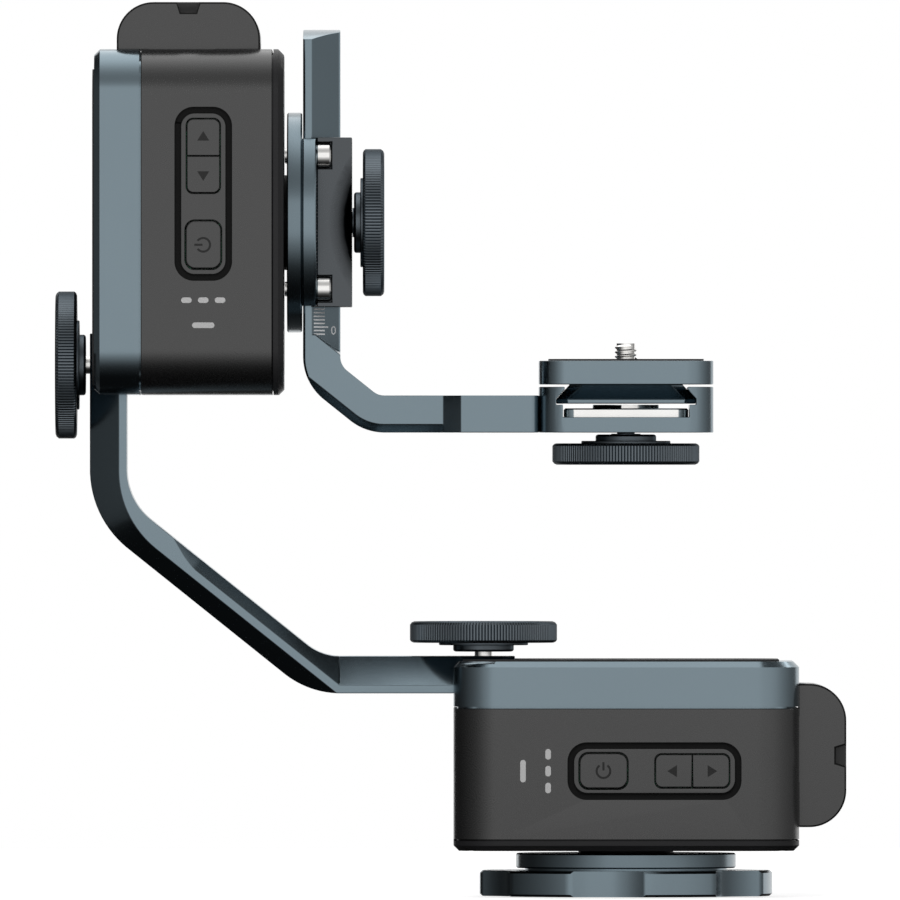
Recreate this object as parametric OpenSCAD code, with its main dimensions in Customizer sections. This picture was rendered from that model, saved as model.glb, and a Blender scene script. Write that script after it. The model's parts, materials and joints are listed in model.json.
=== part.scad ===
// Two-axis motorised pan and tilt head with a bent link arm, a graduated camera arm and a dovetail
// quick release. The origin is on the pan axis at the underside of the foot, +Z is up, and the
// control panels face -Y. Two equal drive modules are used: one pans, the other tilts.

/* [Foot] */
// Diameter of the foot over its lobes
foot_d = 82; // [74:0.5:100]
// Thickness of the foot
foot_h = 7.2; // [6:0.1:12]
// Number of finger scallops round the foot
scallop_count = 6; // [4:1:8]
// Depth of each scallop
scallop_depth = 3; // [1:0.25:4]
// Chamfer on the rims of the foot
foot_chamfer = 0.7; // [0.3:0.1:1.2]
// Diameter of the raised spigot that carries the pan rotor
spigot_d = 56.5; // [46:0.5:60]
// Height of the spigot
spigot_h = 0.6; // [0.4:0.1:2]
// Nominal diameter of the tripod thread, 3/8 inch
tripod_d = 9.525; // [6.35:0.005:9.525]

/* [Rotors] */
// Diameter of each rotor disc
rotor_d = 61.6; // [60:0.2:70]
// Thickness of each rotor disc
rotor_h = 4.2; // [3.5:0.1:6]
// Free height between a rotor disc and the bottom cover
rotor_gap = 0.9; // [0.7:0.1:2]
// Diameter of the shaft hub between disc and cover
hub_d = 26.6; // [24:0.2:30]
// Diameter of the shaft journal
journal_d = 17; // [15:0.5:18]
// Outer diameter of the ball bearing
bearing_d = 26; // [24:0.5:32]
// Width of the ball bearing
bearing_h = 5; // [4:0.5:6]

/* [Gears] */
// Tooth module of the final drive
gear_module = 1; // [0.8:0.1:1]
// Teeth on the output gear
gear_teeth = 44; // [38:1:46]
// Teeth on the motor pinion
pinion_teeth = 14; // [12:1:16]
// Face width of the gears
gear_h = 5.8; // [4:0.1:6.5]

/* [Drive module] */
// Length of the housing
module_l = 96.6; // [94:0.2:120]
// Depth of the housing, front to back
module_w = 80; // [76:0.5:100]
// Radius of the upright corners
module_r = 13; // [11:0.5:16]
// Thickness of the bottom cover
cover_h = 2.8; // [2.4:0.1:4]
// Chamfer round the bottom cover
cover_chamfer = 1.5; // [0.5:0.1:2]
// Height of the shadow gaps below and above the shell
seam_h = 0.5; // [0.3:0.1:0.9]
// Depth of the shadow gaps
seam_depth = 1; // [0.4:0.1:1.2]
// Height of the black shell
shell_h = 36.5; // [36:0.5:50]
// Wall thickness of the shell
wall = 2.6; // [2.2:0.1:3.2]
// Height of the aluminium top cover
top_h = 13.1; // [12.6:0.1:16]
// Chamfer round the top cover
top_chamfer = 1.6; // [0.6:0.1:2.5]
// Thickness of the pad on the top cover
pad_h = 0.5; // [0.3:0.1:1]
// Diameter of the motor
motor_d = 28; // [24:0.5:29]
// Height of the motor
motor_h = 19.5; // [14:0.5:20]

/* [Control panel] */
// Place of the panel's middle along the housing
panel_x = 7.8; // [4:0.2:10]
// Height of the panel's middle above the bottom cover's face
panel_z = 22.35; // [18:0.05:26]
// Length of the panel
panel_l = 45; // [43:0.5:50]
// Height of the panel
panel_h = 12.5; // [12:0.1:15]
// Thickness of the panel
panel_t = 1.6; // [1.2:0.1:1.6]
// Width of the dark groove round the panel
panel_groove = 1.8; // [1:0.1:2.4]
// Length of the power button
power_l = 13.9; // [11:0.1:15]
// Height of the power button
power_h = 10.4; // [8:0.1:10.8]
// Place of the power button from the panel's middle
power_x = -14.25; // [-14.4:0.05:-13.4]
// Length of the pair of arrow buttons
arrows_l = 21.1; // [18:0.1:22]
// Height of the pair of arrow buttons
arrows_h = 9.7; // [7:0.1:10.4]
// Place of the arrow pair from the panel's middle
arrows_x = 10.55; // [9:0.05:10.8]
// How far the buttons stand proud of the panel
button_proud = 0.3; // [0.1:0.1:0.8]
// Travel of a button
button_travel = 0.5; // [0.3:0.1:0.8]
// Place of the status bar light along the housing
bar_x = -28.9; // [-31:0.1:-27]
// Place of the three charge lights along the housing
dots_x = -21.9; // [-24:0.1:-20]
// Width of the light windows
light_w = 1.6; // [1.2:0.1:2]
// Height of the status bar light
bar_h = 6.3; // [4:0.1:9]
// Height of one charge light
dot_h = 3; // [2.2:0.1:3.8]
// Pitch of the charge lights
dot_pitch = 4.7; // [4.4:0.1:6]

/* [Battery] */
// Length of the battery inside the housing
battery_l = 59.4; // [40:0.2:62]
// Width of the battery
battery_w = 52; // [40:0.5:52]
// Thickness of the battery
battery_h = 18.4; // [14:0.2:18.4]
// Length of the battery's grip end
grip_l = 13.1; // [11.5:0.1:20]
// Height of the grip end
grip_h = 40.1; // [30:0.1:44]
// Height of the grip's middle above the bottom cover's face
grip_mid = 26.6; // [25:0.1:28]
// Width of the grip end, front to back
grip_w = 50; // [40:0.5:70]
// Corner radius of the grip end
grip_r = 10.3; // [4:0.1:11]

/* [Arms] */
// Thickness of both arms
arm_t = 10.4; // [9.8:0.1:12]
// Width of the link arm between the modules
link_w = 36; // [30:0.5:40]
// Angle of the arms' slanted run below the horizontal
slant = 38.66; // [34:0.1:44]
// Depth of an arm seat in a top cover
seat_depth = 9; // [8:0.1:9.6]
// Distance of an arm's locking knob from the end of its top cover
knob_inset = 8.4; // [7.8:0.1:9.2]
// Length of an arm past its locking knob
arm_end = 8.8; // [6:0.1:9.5]
// Level run of the link arm from the pan module to its bend
link_run = 38.7; // [34:0.1:44]
// Middle radius of the link arm's lower bend
link_lower_r = 20; // [15:0.5:22]
// Middle radius of the link arm's upper bend
link_upper_r = 23; // [18:0.5:26]
// Width of the flat strip left between an arm's bevels
edge_strip = 2.2; // [1.4:0.1:3]
// Width of the bevel along the slanted run's upper edge
slant_bevel = 3.3; // [2:0.1:4.5]

/* [Placement] */
// Height of the tilt axis above the foot
tilt_z = 188.6; // [180:0.2:230]
// Distance of the tilt module's bottom cover from the pan axis
tilt_reach = 95.8; // [92:0.2:120]

/* [Camera arm] */
// Width of the camera arm's rail
rail_w = 32; // [30:0.2:32]
// Width of the lip along the back of the rail
rail_lip = 2.4; // [1.8:0.1:3]
// Flat strip along the rail's front edge
rail_strip = 0.3; // [0.3:0.1:1.6]
// Height of the rail's top end above the tilt axis
rail_top = 54; // [50:0.5:80]
// Radius of the rail's rounded end
rail_end_r = 47; // [30:1:80]
// Drop from the tilt axis to the middle of the level run
rail_drop = 53.65; // [52:0.05:60]
// Level run of the camera arm from the quick release to its bend
rail_run = 46.8; // [44:0.1:56]
// Middle radius of the camera arm's bends
rail_r = 10.2; // [8:0.2:11]
// Bevel along the camera arm's lower edge
rail_bevel = 2.3; // [1:0.1:3]
// Width of the widened end at the quick release
block_w = 42; // [36:0.5:44]
// Length of the widened end with its shoulders
block_l = 26.8; // [22:0.1:30]
// Upward travel of the camera arm in its clamp
slide_up = 6; // [2:0.5:6]
// Downward travel of the camera arm in its clamp
slide_down = 28; // [10:0.5:28]

/* [Tilt clamp] */
// Height of the clamp
clamp_l = 47.4; // [46:0.2:50]
// Width of the clamp jaw, front to back
jaw_w = 42; // [41:0.5:46]
// Thickness of the side blocks on the tilt rotor
block_t = 4.1; // [3.6:0.1:4.6]
// Outer face of the jaw above the tilt rotor's face
jaw_top = 14; // [13.6:0.1:17]
// Spacing of the clamp's screws along the rail
clamp_screw_l = 37.3; // [36:0.1:38]
// Spacing of the clamp's screws across the rail
clamp_screw_w = 39; // [38.6:0.1:39.4]
// Depth of the finger scoops in the jaw
scoop_depth = 6; // [3:0.25:7]
// Length of the finger scoops along the rotor axis
scoop_l = 7; // [4:0.25:8]
// Radius of the finger scoops
scoop_r = 33; // [26:1:50]

/* [Quick release] */
// Length of the quick release clamp and plate
qr_l = 48.8; // [46:0.2:60]
// Depth of the clamp and plate, front to back
qr_w = 50; // [44:0.5:70]
// Corner radius of the clamp and plate
qr_r = 8.5; // [3:0.5:9]
// Height of the clamp
qr_h = 12.8; // [12:0.1:14]
// Thickness of the clamp's floor
qr_floor = 4.3; // [3.8:0.1:4.6]
// Width of the plate's dovetail at its foot
dovetail_w = 39; // [38:0.1:40]
// Height of the plate's underside over the clamp
plate_gap = 0.7; // [0.6:0.1:1.4]
// Thickness of the plate above its dovetail
plate_h = 6.6; // [5:0.1:10]
// Length of the lock pad, across the dovetail
lock_pad_l = 34.8; // [28:0.1:35.4]
// Depth of the lock pad, front to back
lock_pad_w = 34; // [24:0.5:40]
// Diameter of the boss on the lock pad
lock_boss_d = 18.6; // [14:0.2:22]
// Size of the rubber pad on the plate
plate_pad_l = 43.4; // [30:0.2:44]
// Thickness of the rubber pad
plate_pad_h = 0.5; // [0.3:0.1:0.8]
// Diameter of the camera screw, 1/4 inch
camera_screw_d = 6.35; // [6.35:0.005:9.525]
// Length of the camera screw above the rubber pad
camera_screw_l = 4.4; // [4:0.1:6]

/* [Knobs] */
// Diameter of a knob's rim
knob_d = 41.2; // [36:0.2:44]
// Height of a knob's rim
knob_h = 6; // [5:0.1:9]
// Diameter of the step behind a knob's rim
knob_step_d = 25; // [20:0.5:30]
// Height of that step
knob_step_h = 0.7; // [0.3:0.1:1.2]
// Diameter of a knob's flange
flange_d = 17; // [14:0.5:19]
// Height of a knob's flange
flange_h = 1.8; // [1.5:0.1:3]
// Height at which the arm knobs stand off the arms
arm_knob_gap = 1.2; // [0.5:0.1:2]
// Height at which the clamp knobs stand off their seats
clamp_knob_gap = 0.5; // [0.4:0.1:1]
// Diameter of the arm and quick release knobs' screws
knob_screw_d = 5; // [4:0.5:5]
// Diameter of the tilt clamp knob's screw
clamp_screw_d = 6; // [5:0.5:6]

/* [Fits] */
// Radial clearance of a turning fit
running = 0.06; // [0.03:0.01:0.09]
// Clearance between pieces that slide or pass
gap = 0.3; // [0.25:0.05:0.4]

/* [Hidden] */
$fn = 96;
e = 0.01;
far = 60;
cover_screw_d = 3;
small_hole = 0.1;
motor_shaft_d = 4;
foot_head_d = 7.6;
camera_head_d = 15;
slot_w = 1.4;
button_seam = 0.2;
neck_d = 8.2;
pressure_angle = 25;
backlash = 0.1;
blend = 0.005;
runout_r = 20;
runout_turn = 21;

grey_blue = "#798791";
dark_grey = "#53585b";
black_shell = "#2b2b2d";
black_part = "#18191a";
knob_grey = "#343b42";
steel = "#d8d8d6";
light_white = "#b9babb";
board_green = "#1f5a3a";
brass_gold = "#b0904a";

pan_z = foot_h + spigot_h + rotor_h + rotor_gap;
tilt_x = -tilt_reach;
rotor_face_x = tilt_x + rotor_gap + rotor_h;

// Levels inside a drive module, above its bottom cover's face
shell_z = cover_h + seam_h;
top_z = shell_z + shell_h;
module_h = top_z + top_h;
hub_top = min(0.9, cover_h - 1.9);
bearing_z = hub_top + 2.3;
tower_top = bearing_z + bearing_h + 0.2;
gear_z = tower_top + 1.1;
shaft_top = gear_z + gear_h + 0.6;
plate_z = shaft_top + 0.6;
plate_t = 2;
seat_z = module_h - seat_depth;
battery_z = plate_z + plate_t + 0.7;
front_y = -module_w / 2;
inner_front_y = front_y + wall;
gear_axis = gear_module * (gear_teeth + pinion_teeth) / 2;
boss_x = module_l / 2 - module_r + 6;
boss_y = module_w / 2 - module_r + 6;
boss_r = 4;
post_r = 3;
post_in = [8, module_w / 2 - 12.5];
post_out = [-38, 24];
board_y = inner_front_y + 4;
board_t = 1.6;
switch_h = 1.4;
power_mid = panel_x + power_x;
arrows_mid = panel_x + arrows_x;
knob_offset = module_l / 2 - knob_inset;
seat_end = knob_offset - arm_end;

// Centre line of the link arm, as points in the XZ plane
link_x = tilt_x - seat_z - arm_t / 2;
link_z = pan_z + seat_z + arm_t / 2;
link_corner = [-module_l / 2 - link_run, link_z];
link_top = tilt_z - seat_end;

// Centre line of the camera arm
rail_back = gap;
rail_x = rotor_face_x + rail_back + arm_t / 2;
rail_z = tilt_z - rail_drop;
rail_corner = [-qr_l / 2 - rail_run, rail_z];
rail_bottom = rail_z - arm_t / 2;
rail_depth = arm_t - rail_lip - rail_strip;
rail_lip_top = rail_back + rail_lip;
rail_slot_w = clamp_screw_d + 2 * gap;
runout = arm_t / 2 + 2.25;
block_x = -qr_l / 2 - block_l;
shoulder = (block_w - rail_w) / 2;
tenon = [12, 20, 6];
tenon_z = rail_z - tenon[2] / 2;
tenon_screw_y = 6;

// Levels in the quick release, above the clamp's underside
dovetail_low = qr_floor + 3.8;
dovetail_side = 1.3;
slide_fit = 0.12;
lock_lift = 0.2;
end_cut = 3.2;
plate_under = qr_h + plate_gap;
dovetail_rise = plate_under - dovetail_low - dovetail_side;
lock_pad_h = 2.5;
lock_boss_h = dovetail_low - qr_floor - lock_pad_h - gap;

// Rotor screws: four countersunk ones under the foot, four cap screws in the clamp
foot_screw_r = 21;
foot_screw_d = 4;
cap_head_d = 7;
cap_head_h = 4;
cap_screw_d = 4;

// Placing the two drive modules, the tilt clamp and the quick release
module at_pan() {
    translate([0, 0, pan_z]) children();
}
module at_tilt() {
    translate([tilt_x, 0, tilt_z]) rotate([0, -90, 0]) children();
}
module at_clamp() {
    translate([rotor_face_x, 0, tilt_z]) rotate([0, 90, 0]) children();
}
module at_qr() {
    translate([0, 0, rail_bottom]) children();
}

// Flat shapes
module rounded_rect(l, w, r) {
    square([l - 2 * r, w], center = true);
    square([l, w - 2 * r], center = true);
    for (x = [-1, 1], y = [-1, 1])
        translate([x * (l / 2 - r), y * (w / 2 - r)]) circle(r);
}
module stadium(w, h) {
    square([w, h - w], center = true);
    for (y = [-1, 1])
        translate([0, y * (h - w) / 2]) circle(w / 2);
}

// A rounded plate, and the sloping band that chamfers its rim
module plate(l, w, h, r) {
    linear_extrude(h) rounded_rect(l, w, r);
}
module chamfer_band(l, w, r, c) {
    rotate([90, 0, 90]) linear_extrude(l - 2 * r, center = true)
        polygon([[-w / 2, 0], [w / 2, 0], [w / 2 - c, c], [c - w / 2, c]]);
    rotate([90, 0, 0]) linear_extrude(w - 2 * r, center = true)
        polygon([[-l / 2, 0], [l / 2, 0], [l / 2 - c, c], [c - l / 2, c]]);
    for (x = [-1, 1], y = [-1, 1])
        translate([x * (l / 2 - r), y * (w / 2 - r), 0]) cylinder(r1 = r, r2 = r - c, h = c);
}
module chamfered_plate(l, w, h, r, c) {
    plate(l, w, h - c, r);
    translate([0, 0, h - c]) chamfer_band(l, w, r, c);
}

// A disc whose two rims are chamfered
module disc(d, h, c) {
    rotate_extrude()
        polygon([[0, 0], [d / 2 - c, 0], [d / 2, c], [d / 2, h - c], [d / 2 - c, h], [0, h]]);
}

// A shape on the front wall, drawn as seen from the front, that reaches from y0 back to y1
module on_front(x, z, y0, y1) {
    translate([x, y1, z]) rotate([90, 0, 0]) linear_extrude(y1 - y0) children();
}

// Bent bars on a path in the XZ plane whose bends all turn left
function heading(p, q) = atan2(q[1] - p[1], q[0] - p[0]);
function along(a) = [cos(a), sin(a)];
function turn(pts, i) = heading(pts[i], pts[i + 1]) - heading(pts[i - 1], pts[i]);
function mid_heading(pts, i) = heading(pts[i - 1], pts[i]) + turn(pts, i) / 2;
function bend_centre(pts, r, i) = pts[i] + r / cos(turn(pts, i) / 2) * along(mid_heading(pts, i) + 90);
function side_point(pts, i, s) =
    i == 0 ? pts[0] + s * along(heading(pts[0], pts[1]) - 90) :
    i == len(pts) - 1 ? pts[i] + s * along(heading(pts[i - 1], pts[i]) - 90) :
    pts[i] + s / cos(turn(pts, i) / 2) * along(mid_heading(pts, i) - 90);

// The sector of bend i out to reach, and the bar's side view with its bends rounded
module bend_sector(pts, r, i, reach) {
    c = bend_centre(pts, r, i);
    a = heading(pts[i - 1], pts[i]) - 90;
    t = turn(pts, i);
    polygon([
        c, c + reach * along(a), c + reach / cos(t / 2) * along(a + t / 2), c + reach * along(a + t)
    ]);
}
module bent_outline(pts, r, t) {
    last = len(pts) - 1;
    difference() {
        union() {
            polygon(concat(
                [for (i = [0 : last]) side_point(pts, i, t / 2)],
                [for (i = [last : -1 : 0]) side_point(pts, i, -t / 2)]
            ));
            for (i = [1 : last - 1])
                difference() {
                    bend_sector(pts, r[i], i, r[i] - t / 2 + 1);
                    translate(bend_centre(pts, r[i], i)) circle(r[i] - t / 2 + blend);
                }
        }
        for (i = [1 : last - 1])
            difference() {
                bend_sector(pts, r[i], i, r[i] + t / 2 + 2);
                translate(bend_centre(pts, r[i], i)) circle(r[i] + t / 2 + blend);
            }
    }
}
module in_side_view(w) {
    rotate([90, 0, 0]) linear_extrude(w, center = true) children();
}
module run(p, q) {
    translate([p[0], 0, p[1]]) rotate([0, 90 - heading(p, q), 0])
        linear_extrude(norm(q - p)) children();
}

// A bevel on the outer side of a path of three points whose bend has radius r
module outer_bevel(pts, r, w, depth) {
    c = bend_centre(pts, r, 1);
    cone = w / 2 + r + blend;
    run(pts[0], pts[1]) bevel_section(w, 1, depth + 1, depth);
    run(pts[1], pts[2]) bevel_section(w, 1, depth + 1, depth);
    difference() {
        in_side_view(w + 2) bend_sector(pts, r, 1, r + depth);
        translate([c[0], 0, c[1]]) rotate([90, 0, 0])
            rotate_extrude() polygon([[0, -cone], [cone, 0], [0, cone]]);
    }
}

// Section of a bevel of an arm's two edges, to the right (side 1) or left (side -1)
module bevel_section(w, side, reach, depth, steep = 1) {
    for (m = [-1, 1])
        polygon([
            [-side / steep, m * (w / 2 + 1)], [side * depth / steep, m * (w / 2 - depth)],
            [side * reach, m * (w / 2 - depth)], [side * reach, m * (w / 2 + 1)]
        ]);
}

// Height of a line beside the slanted run through corner p, at x, offset to its upper side
function slant_z(p, x, offset) = p[1] - tan(slant) * (x - p[0]) + offset / cos(slant);
function slant_x(p, z, offset) = p[0] + (p[1] + offset / cos(slant) - z) / tan(slant);

// Spur gear outline with involute flanks
function involute(a) = tan(a) * 180 / PI - a;
function flank(n, r) =
    90 / n - backlash / 2 / (gear_module * n / 2) * 180 / PI + involute(pressure_angle)
    - involute(acos(min(1, gear_module * n / 2 * cos(pressure_angle) / r)));
module gear_outline(n) {
    pitch = gear_module * n / 2;
    root = pitch - 1.2 * gear_module;
    base = max(root, pitch * cos(pressure_angle));
    tip = pitch + gear_module;
    radii = [for (k = [0 : 3]) base + (tip - base) * k / 3];
    polygon([
        for (i = [0 : n - 1])
            each concat(
                [root * along(i * 360 / n - flank(n, base) - 45 / n * (base - root))],
                [for (r = radii) r * along(i * 360 / n - flank(n, r))],
                [for (k = [3 : -1 : 0]) radii[k] * along(i * 360 / n + flank(n, radii[k]))],
                [root * along(i * 360 / n + flank(n, base) + 45 / n * (base - root))]
            )
    ]);
}

// Rotor parts, in the frame of their drive module
module rotor_disc(screw_places, screw_d) {
    difference() {
        translate([0, 0, -rotor_gap - rotor_h]) disc(rotor_d, rotor_h, 0.4);
        translate([0, 0, -far]) cylinder(d = journal_d - 1, h = 2 * far);
        for (p = screw_places)
            translate([p[0], p[1], -far]) cylinder(d = screw_d + 2 * small_hole, h = 2 * far);
    }
}
module output_shaft(bore_d, bore_top) {
    seat = -rotor_gap - rotor_h;
    journal = journal_d / 2 - running;
    difference() {
        rotate_extrude()
            polygon([
                [0, seat], [journal_d / 2 - 0.5, seat], [journal_d / 2 - 0.5, -rotor_gap],
                [hub_d / 2, -rotor_gap], [hub_d / 2, hub_top], [journal, hub_top],
                [journal, tower_top + 0.4], [journal_d / 2 - 1.5, tower_top + 0.4],
                [journal_d / 2 - 1.5, shaft_top], [0, shaft_top]
            ]);
        translate([0, 0, seat - e]) cylinder(d = bore_d, h = bore_top - seat);
    }
}
module output_gear() {
    translate([0, 0, gear_z])
        difference() {
            rotate([0, 0, 180 / gear_teeth]) linear_extrude(gear_h) gear_outline(gear_teeth);
            translate([0, 0, -e]) cylinder(d = journal_d - 3, h = gear_h + 2 * e);
            for (a = [0 : 60 : 300])
                rotate([0, 0, a]) translate([gear_module * gear_teeth / 4 + 3, 0, -e])
                    cylinder(d = 6, h = gear_h + 2 * e);
        }
}

// Drive module parts, all in the module's own frame
module cover_screw_places() {
    for (x = [-1, 1], y = [-1, 1])
        translate([x * boss_x, y * boss_y, 0]) children();
}
module plate_post_places() {
    for (p = [post_in, post_out], y = [-1, 1])
        translate([p[0], y * p[1], 0]) children();
}
module bottom_cover_body() {
    difference() {
        union() {
            translate([0, 0, cover_chamfer]) mirror([0, 0, 1])
                chamfer_band(module_l, module_w, module_r, cover_chamfer);
            translate([0, 0, cover_chamfer])
                plate(module_l, module_w, cover_h - cover_chamfer, module_r);
            plate_in = 2 * seam_depth;
            translate([0, 0, cover_h])
                plate(module_l - plate_in, module_w - plate_in, seam_h, module_r - seam_depth);
            cylinder(d = bearing_d + 7, h = tower_top);
            plate_post_places() translate([0, 0, cover_h]) cylinder(r = post_r, h = plate_z - cover_h);
        }
        translate([0, 0, -e]) cylinder(d = hub_d + 2 * gap, h = hub_top + gap + e);
        translate([0, 0, -e]) cylinder(d = journal_d + 4, h = far);
        translate([0, 0, bearing_z]) cylinder(d = bearing_d, h = far);
        cover_screw_places() {
            translate([0, 0, -e]) cylinder(d = cover_screw_d + 2 * small_hole, h = far);
            translate([0, 0, -e]) cylinder(d1 = 6.4, d2 = 3.2, h = 1.7);
        }
    }
}
module bearing_body() {
    translate([0, 0, bearing_z])
        difference() {
            disc(bearing_d, bearing_h, 0.3);
            translate([0, 0, -e]) cylinder(d = journal_d, h = bearing_h + 2 * e);
            for (z = [-e, bearing_h - 0.4])
                translate([0, 0, z])
                    difference() {
                        cylinder(d = bearing_d - 3, h = 0.4 + e);
                        translate([0, 0, -e]) cylinder(d = journal_d + 3, h = 1);
                    }
        }
}
module housing_body() {
    inner_l = module_l - 2 * wall;
    inner_w = module_w - 2 * wall;
    difference() {
        union() {
            translate([0, 0, shell_z])
                difference() {
                    chamfered_plate(module_l, module_w, shell_h, module_r, 0.2);
                    translate([0, 0, -e]) plate(inner_l, inner_w, shell_h + 2 * e, module_r - wall);
                }
            cover_screw_places() translate([0, 0, shell_z]) cylinder(r = boss_r, h = shell_h);
            board_post_places() cylinder(d = 5, h = 4 + wall / 2);
        }
        cover_screw_places() cylinder(d = cover_screw_d + 2 * small_hole, h = far);
        on_front(panel_x, panel_z, front_y - 1, front_y + panel_t)
            rounded_rect(panel_l + 2 * panel_groove, panel_h + 2 * panel_groove, 5.4);
        on_front(power_mid, panel_z, front_y, inner_front_y + 1)
            rounded_rect(power_l + 0.2, power_h + 0.2, 2.9);
        on_front(arrows_mid, panel_z, front_y, inner_front_y + 1)
            rounded_rect(arrows_l + 0.2, arrows_h + 0.2, 2.1);
        light_places() stadium(light_w, $light_h);
        translate([module_l / 2 - wall - 1, -battery_w / 2 - gap, battery_z - gap])
            cube([far, battery_w + 2 * gap, battery_h + 2 * gap]);
    }
}
module board_post_places() {
    for (x = [-33, 31], z = [shell_z + 6.5, top_z - 5.5])
        translate([x, board_y, z]) rotate([90, 0, 0]) children();
}
module light_places(depth = far) {
    on_front(bar_x, panel_z, front_y - 0.1, min(front_y + depth, inner_front_y + 0.1)) {
        $light_h = bar_h;
        children();
    }
    for (k = [-1 : 1])
        on_front(dots_x, panel_z + k * dot_pitch, front_y - 0.1,
                 min(front_y + depth, inner_front_y + 0.1)) {
            $light_h = dot_h;
            children();
        }
}
module top_cover_body() {
    seat_half = link_w / 2 + gap;
    strip = edge_strip + gap;
    pocket_l = module_l - 2 * wall - 2;
    pocket_w = module_w - 2 * wall - 2;
    difference() {
        union() {
            difference() {
                union() {
                    translate([0, 0, top_z])
                        plate(module_l - 2 * seam_depth, module_w - 2 * seam_depth, seam_h,
                              module_r - seam_depth);
                    translate([0, 0, top_z + seam_h])
                        chamfered_plate(module_l, module_w, top_h - seam_h, module_r, top_chamfer);
                }
                translate([0, 0, top_z - e]) plate(pocket_l, pocket_w, 2.1, module_r - wall - 1);
                translate([-seat_end + 4, -pocket_w / 2, top_z - e])
                    cube([module_l / 2 + seat_end - 4 - wall - 1 - module_r / 2, pocket_w, top_h - 3]);
            }
            translate([-knob_offset, 0, top_z]) cylinder(d = 12, h = 3);
            cover_screw_places() translate([0, 0, top_z]) cylinder(r = boss_r, h = 9);
        }
        translate([-far, 0, seat_z]) rotate([90, 0, 90]) linear_extrude(far - seat_end + gap)
            polygon([
                [-seat_half, 0], [seat_half, 0], [seat_half, strip],
                [seat_half - far / 4, strip + far / 4], [far / 4 - seat_half, strip + far / 4],
                [-seat_half, strip]
            ]);
        translate([-knob_offset, 0, 0]) cylinder(d = knob_screw_d + 2 * running, h = module_h);
        cover_screw_places() cylinder(d = cover_screw_d + 2 * small_hole, h = top_z + 7.5);
    }
}
module top_pad_body() {
    pad_l = module_l - 2 * top_chamfer - 5;
    pad_w = module_w - 2 * top_chamfer - 3;
    translate([0, 0, module_h])
        difference() {
            translate([-1.5, 0, 0]) plate(pad_l, pad_w, pad_h, module_r - top_chamfer - 1);
            translate([-far, -link_w / 2, -e]) cube([far - seat_end + gap, link_w, pad_h + 1]);
        }
}
module motor_plate_body() {
    span = post_in[0] - post_out[0] + 7;
    translate([0, 0, plate_z])
        difference() {
            translate([(post_in[0] + post_out[0]) / 2, 0, 0]) plate(span, 2 * post_in[1] + 5, plate_t, 6);
            translate([-gear_axis, 0, -e]) cylinder(d = 9, h = plate_t + 2 * e);
            plate_post_places() translate([0, 0, -e]) cylinder(d = 3.2, h = plate_t + 2 * e);
        }
}
module motor_body() {
    translate([-gear_axis, 0, plate_z + plate_t])
        difference() {
            union() {
                disc(motor_d, motor_h - 2, 0.6);
                translate([0, 0, motor_h - 2]) disc(motor_d - 10, 2, 0.4);
            }
            translate([0, 0, -e]) cylinder(d = motor_shaft_d + 2 * running, h = motor_h - 5);
        }
}
module motor_pinion_body() {
    translate([-gear_axis, 0, 0]) {
        translate([0, 0, gear_z]) linear_extrude(gear_h) gear_outline(pinion_teeth);
        translate([0, 0, gear_z + gear_h - e])
            cylinder(d = motor_shaft_d, h = plate_z + motor_h - gear_z - gear_h - 6);
    }
}
module control_board_body() {
    low = shell_z + 3.7;
    high = top_z - 2.8;
    translate([-36, board_y, low]) cube([70, board_t, high - low]);
    for (x = [power_mid, arrows_mid - arrows_l / 4, arrows_mid + arrows_l / 4])
        translate([x - 3, board_y - switch_h, panel_z - 3]) cube([6, switch_h + e, 6]);
    translate([-14, board_y + board_t - e, low + 4]) cube([10, 1.2, 10]);
    translate([14, board_y + board_t - e, low + 5]) cube([7, 1, 7]);
}
module button_panel_body() {
    difference() {
        on_front(panel_x, panel_z, front_y, front_y + panel_t) rounded_rect(panel_l, panel_h, 3.8);
        on_front(power_mid, panel_z, front_y - 1, front_y + far) rounded_rect(power_l, power_h, 2.8);
        on_front(arrows_mid, panel_z, front_y - 1, front_y + far) rounded_rect(arrows_l, arrows_h, 2);
    }
}
module button_stem(x) {
    stem_back = board_y - switch_h - button_travel - 0.2;
    on_front(x, panel_z, front_y + 1, stem_back) circle(d = 3.2);
}
module power_button_body() {
    on_front(power_mid, panel_z, front_y - button_proud, inner_front_y)
        rounded_rect(power_l - 2 * gap, power_h - 2 * gap, 2.6);
    button_stem(power_mid);
}
module arrow_button_body(side) {
    half = arrows_l / 2;
    on_front(arrows_mid, panel_z, front_y - button_proud, inner_front_y)
        intersection() {
            rounded_rect(arrows_l - 2 * gap, arrows_h - 2 * gap, 1.8);
            translate([side * (half + button_seam / 2), 0]) square([2 * half, 2 * half], center = true);
        }
    button_stem(arrows_mid + side * arrows_l / 4);
}
module battery_body() {
    grip_x = module_l / 2 + 0.1;
    grip_z = grip_mid - grip_h / 2;
    slope = 0.9;
    translate([module_l / 2 - battery_l, -battery_w / 2, battery_z])
        cube([battery_l + 1, battery_w, battery_h]);
    difference() {
        translate([0, grip_w / 2, 0]) rotate([90, 0, 0]) linear_extrude(grip_w)
            grip_outline(grip_x, grip_z);
        for (y = [-1, 1])
            translate([grip_x + grip_l, y * grip_w / 2, grip_mid]) rotate([90, 0, 0])
                linear_extrude(5, center = true)
                    polygon([[1, -3 - slope / 3], [1, 3 + slope / 3], [-2.9, 3 - slope], [-2.9, slope - 3]]);
    }
}
module grip_outline(x, z) {
    intersection() {
        translate([x + grip_l - grip_h, z + grip_h / 2]) rounded_rect(2 * grip_h, grip_h, grip_r);
        translate([x, z]) square([far, grip_h]);
    }
}
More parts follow.
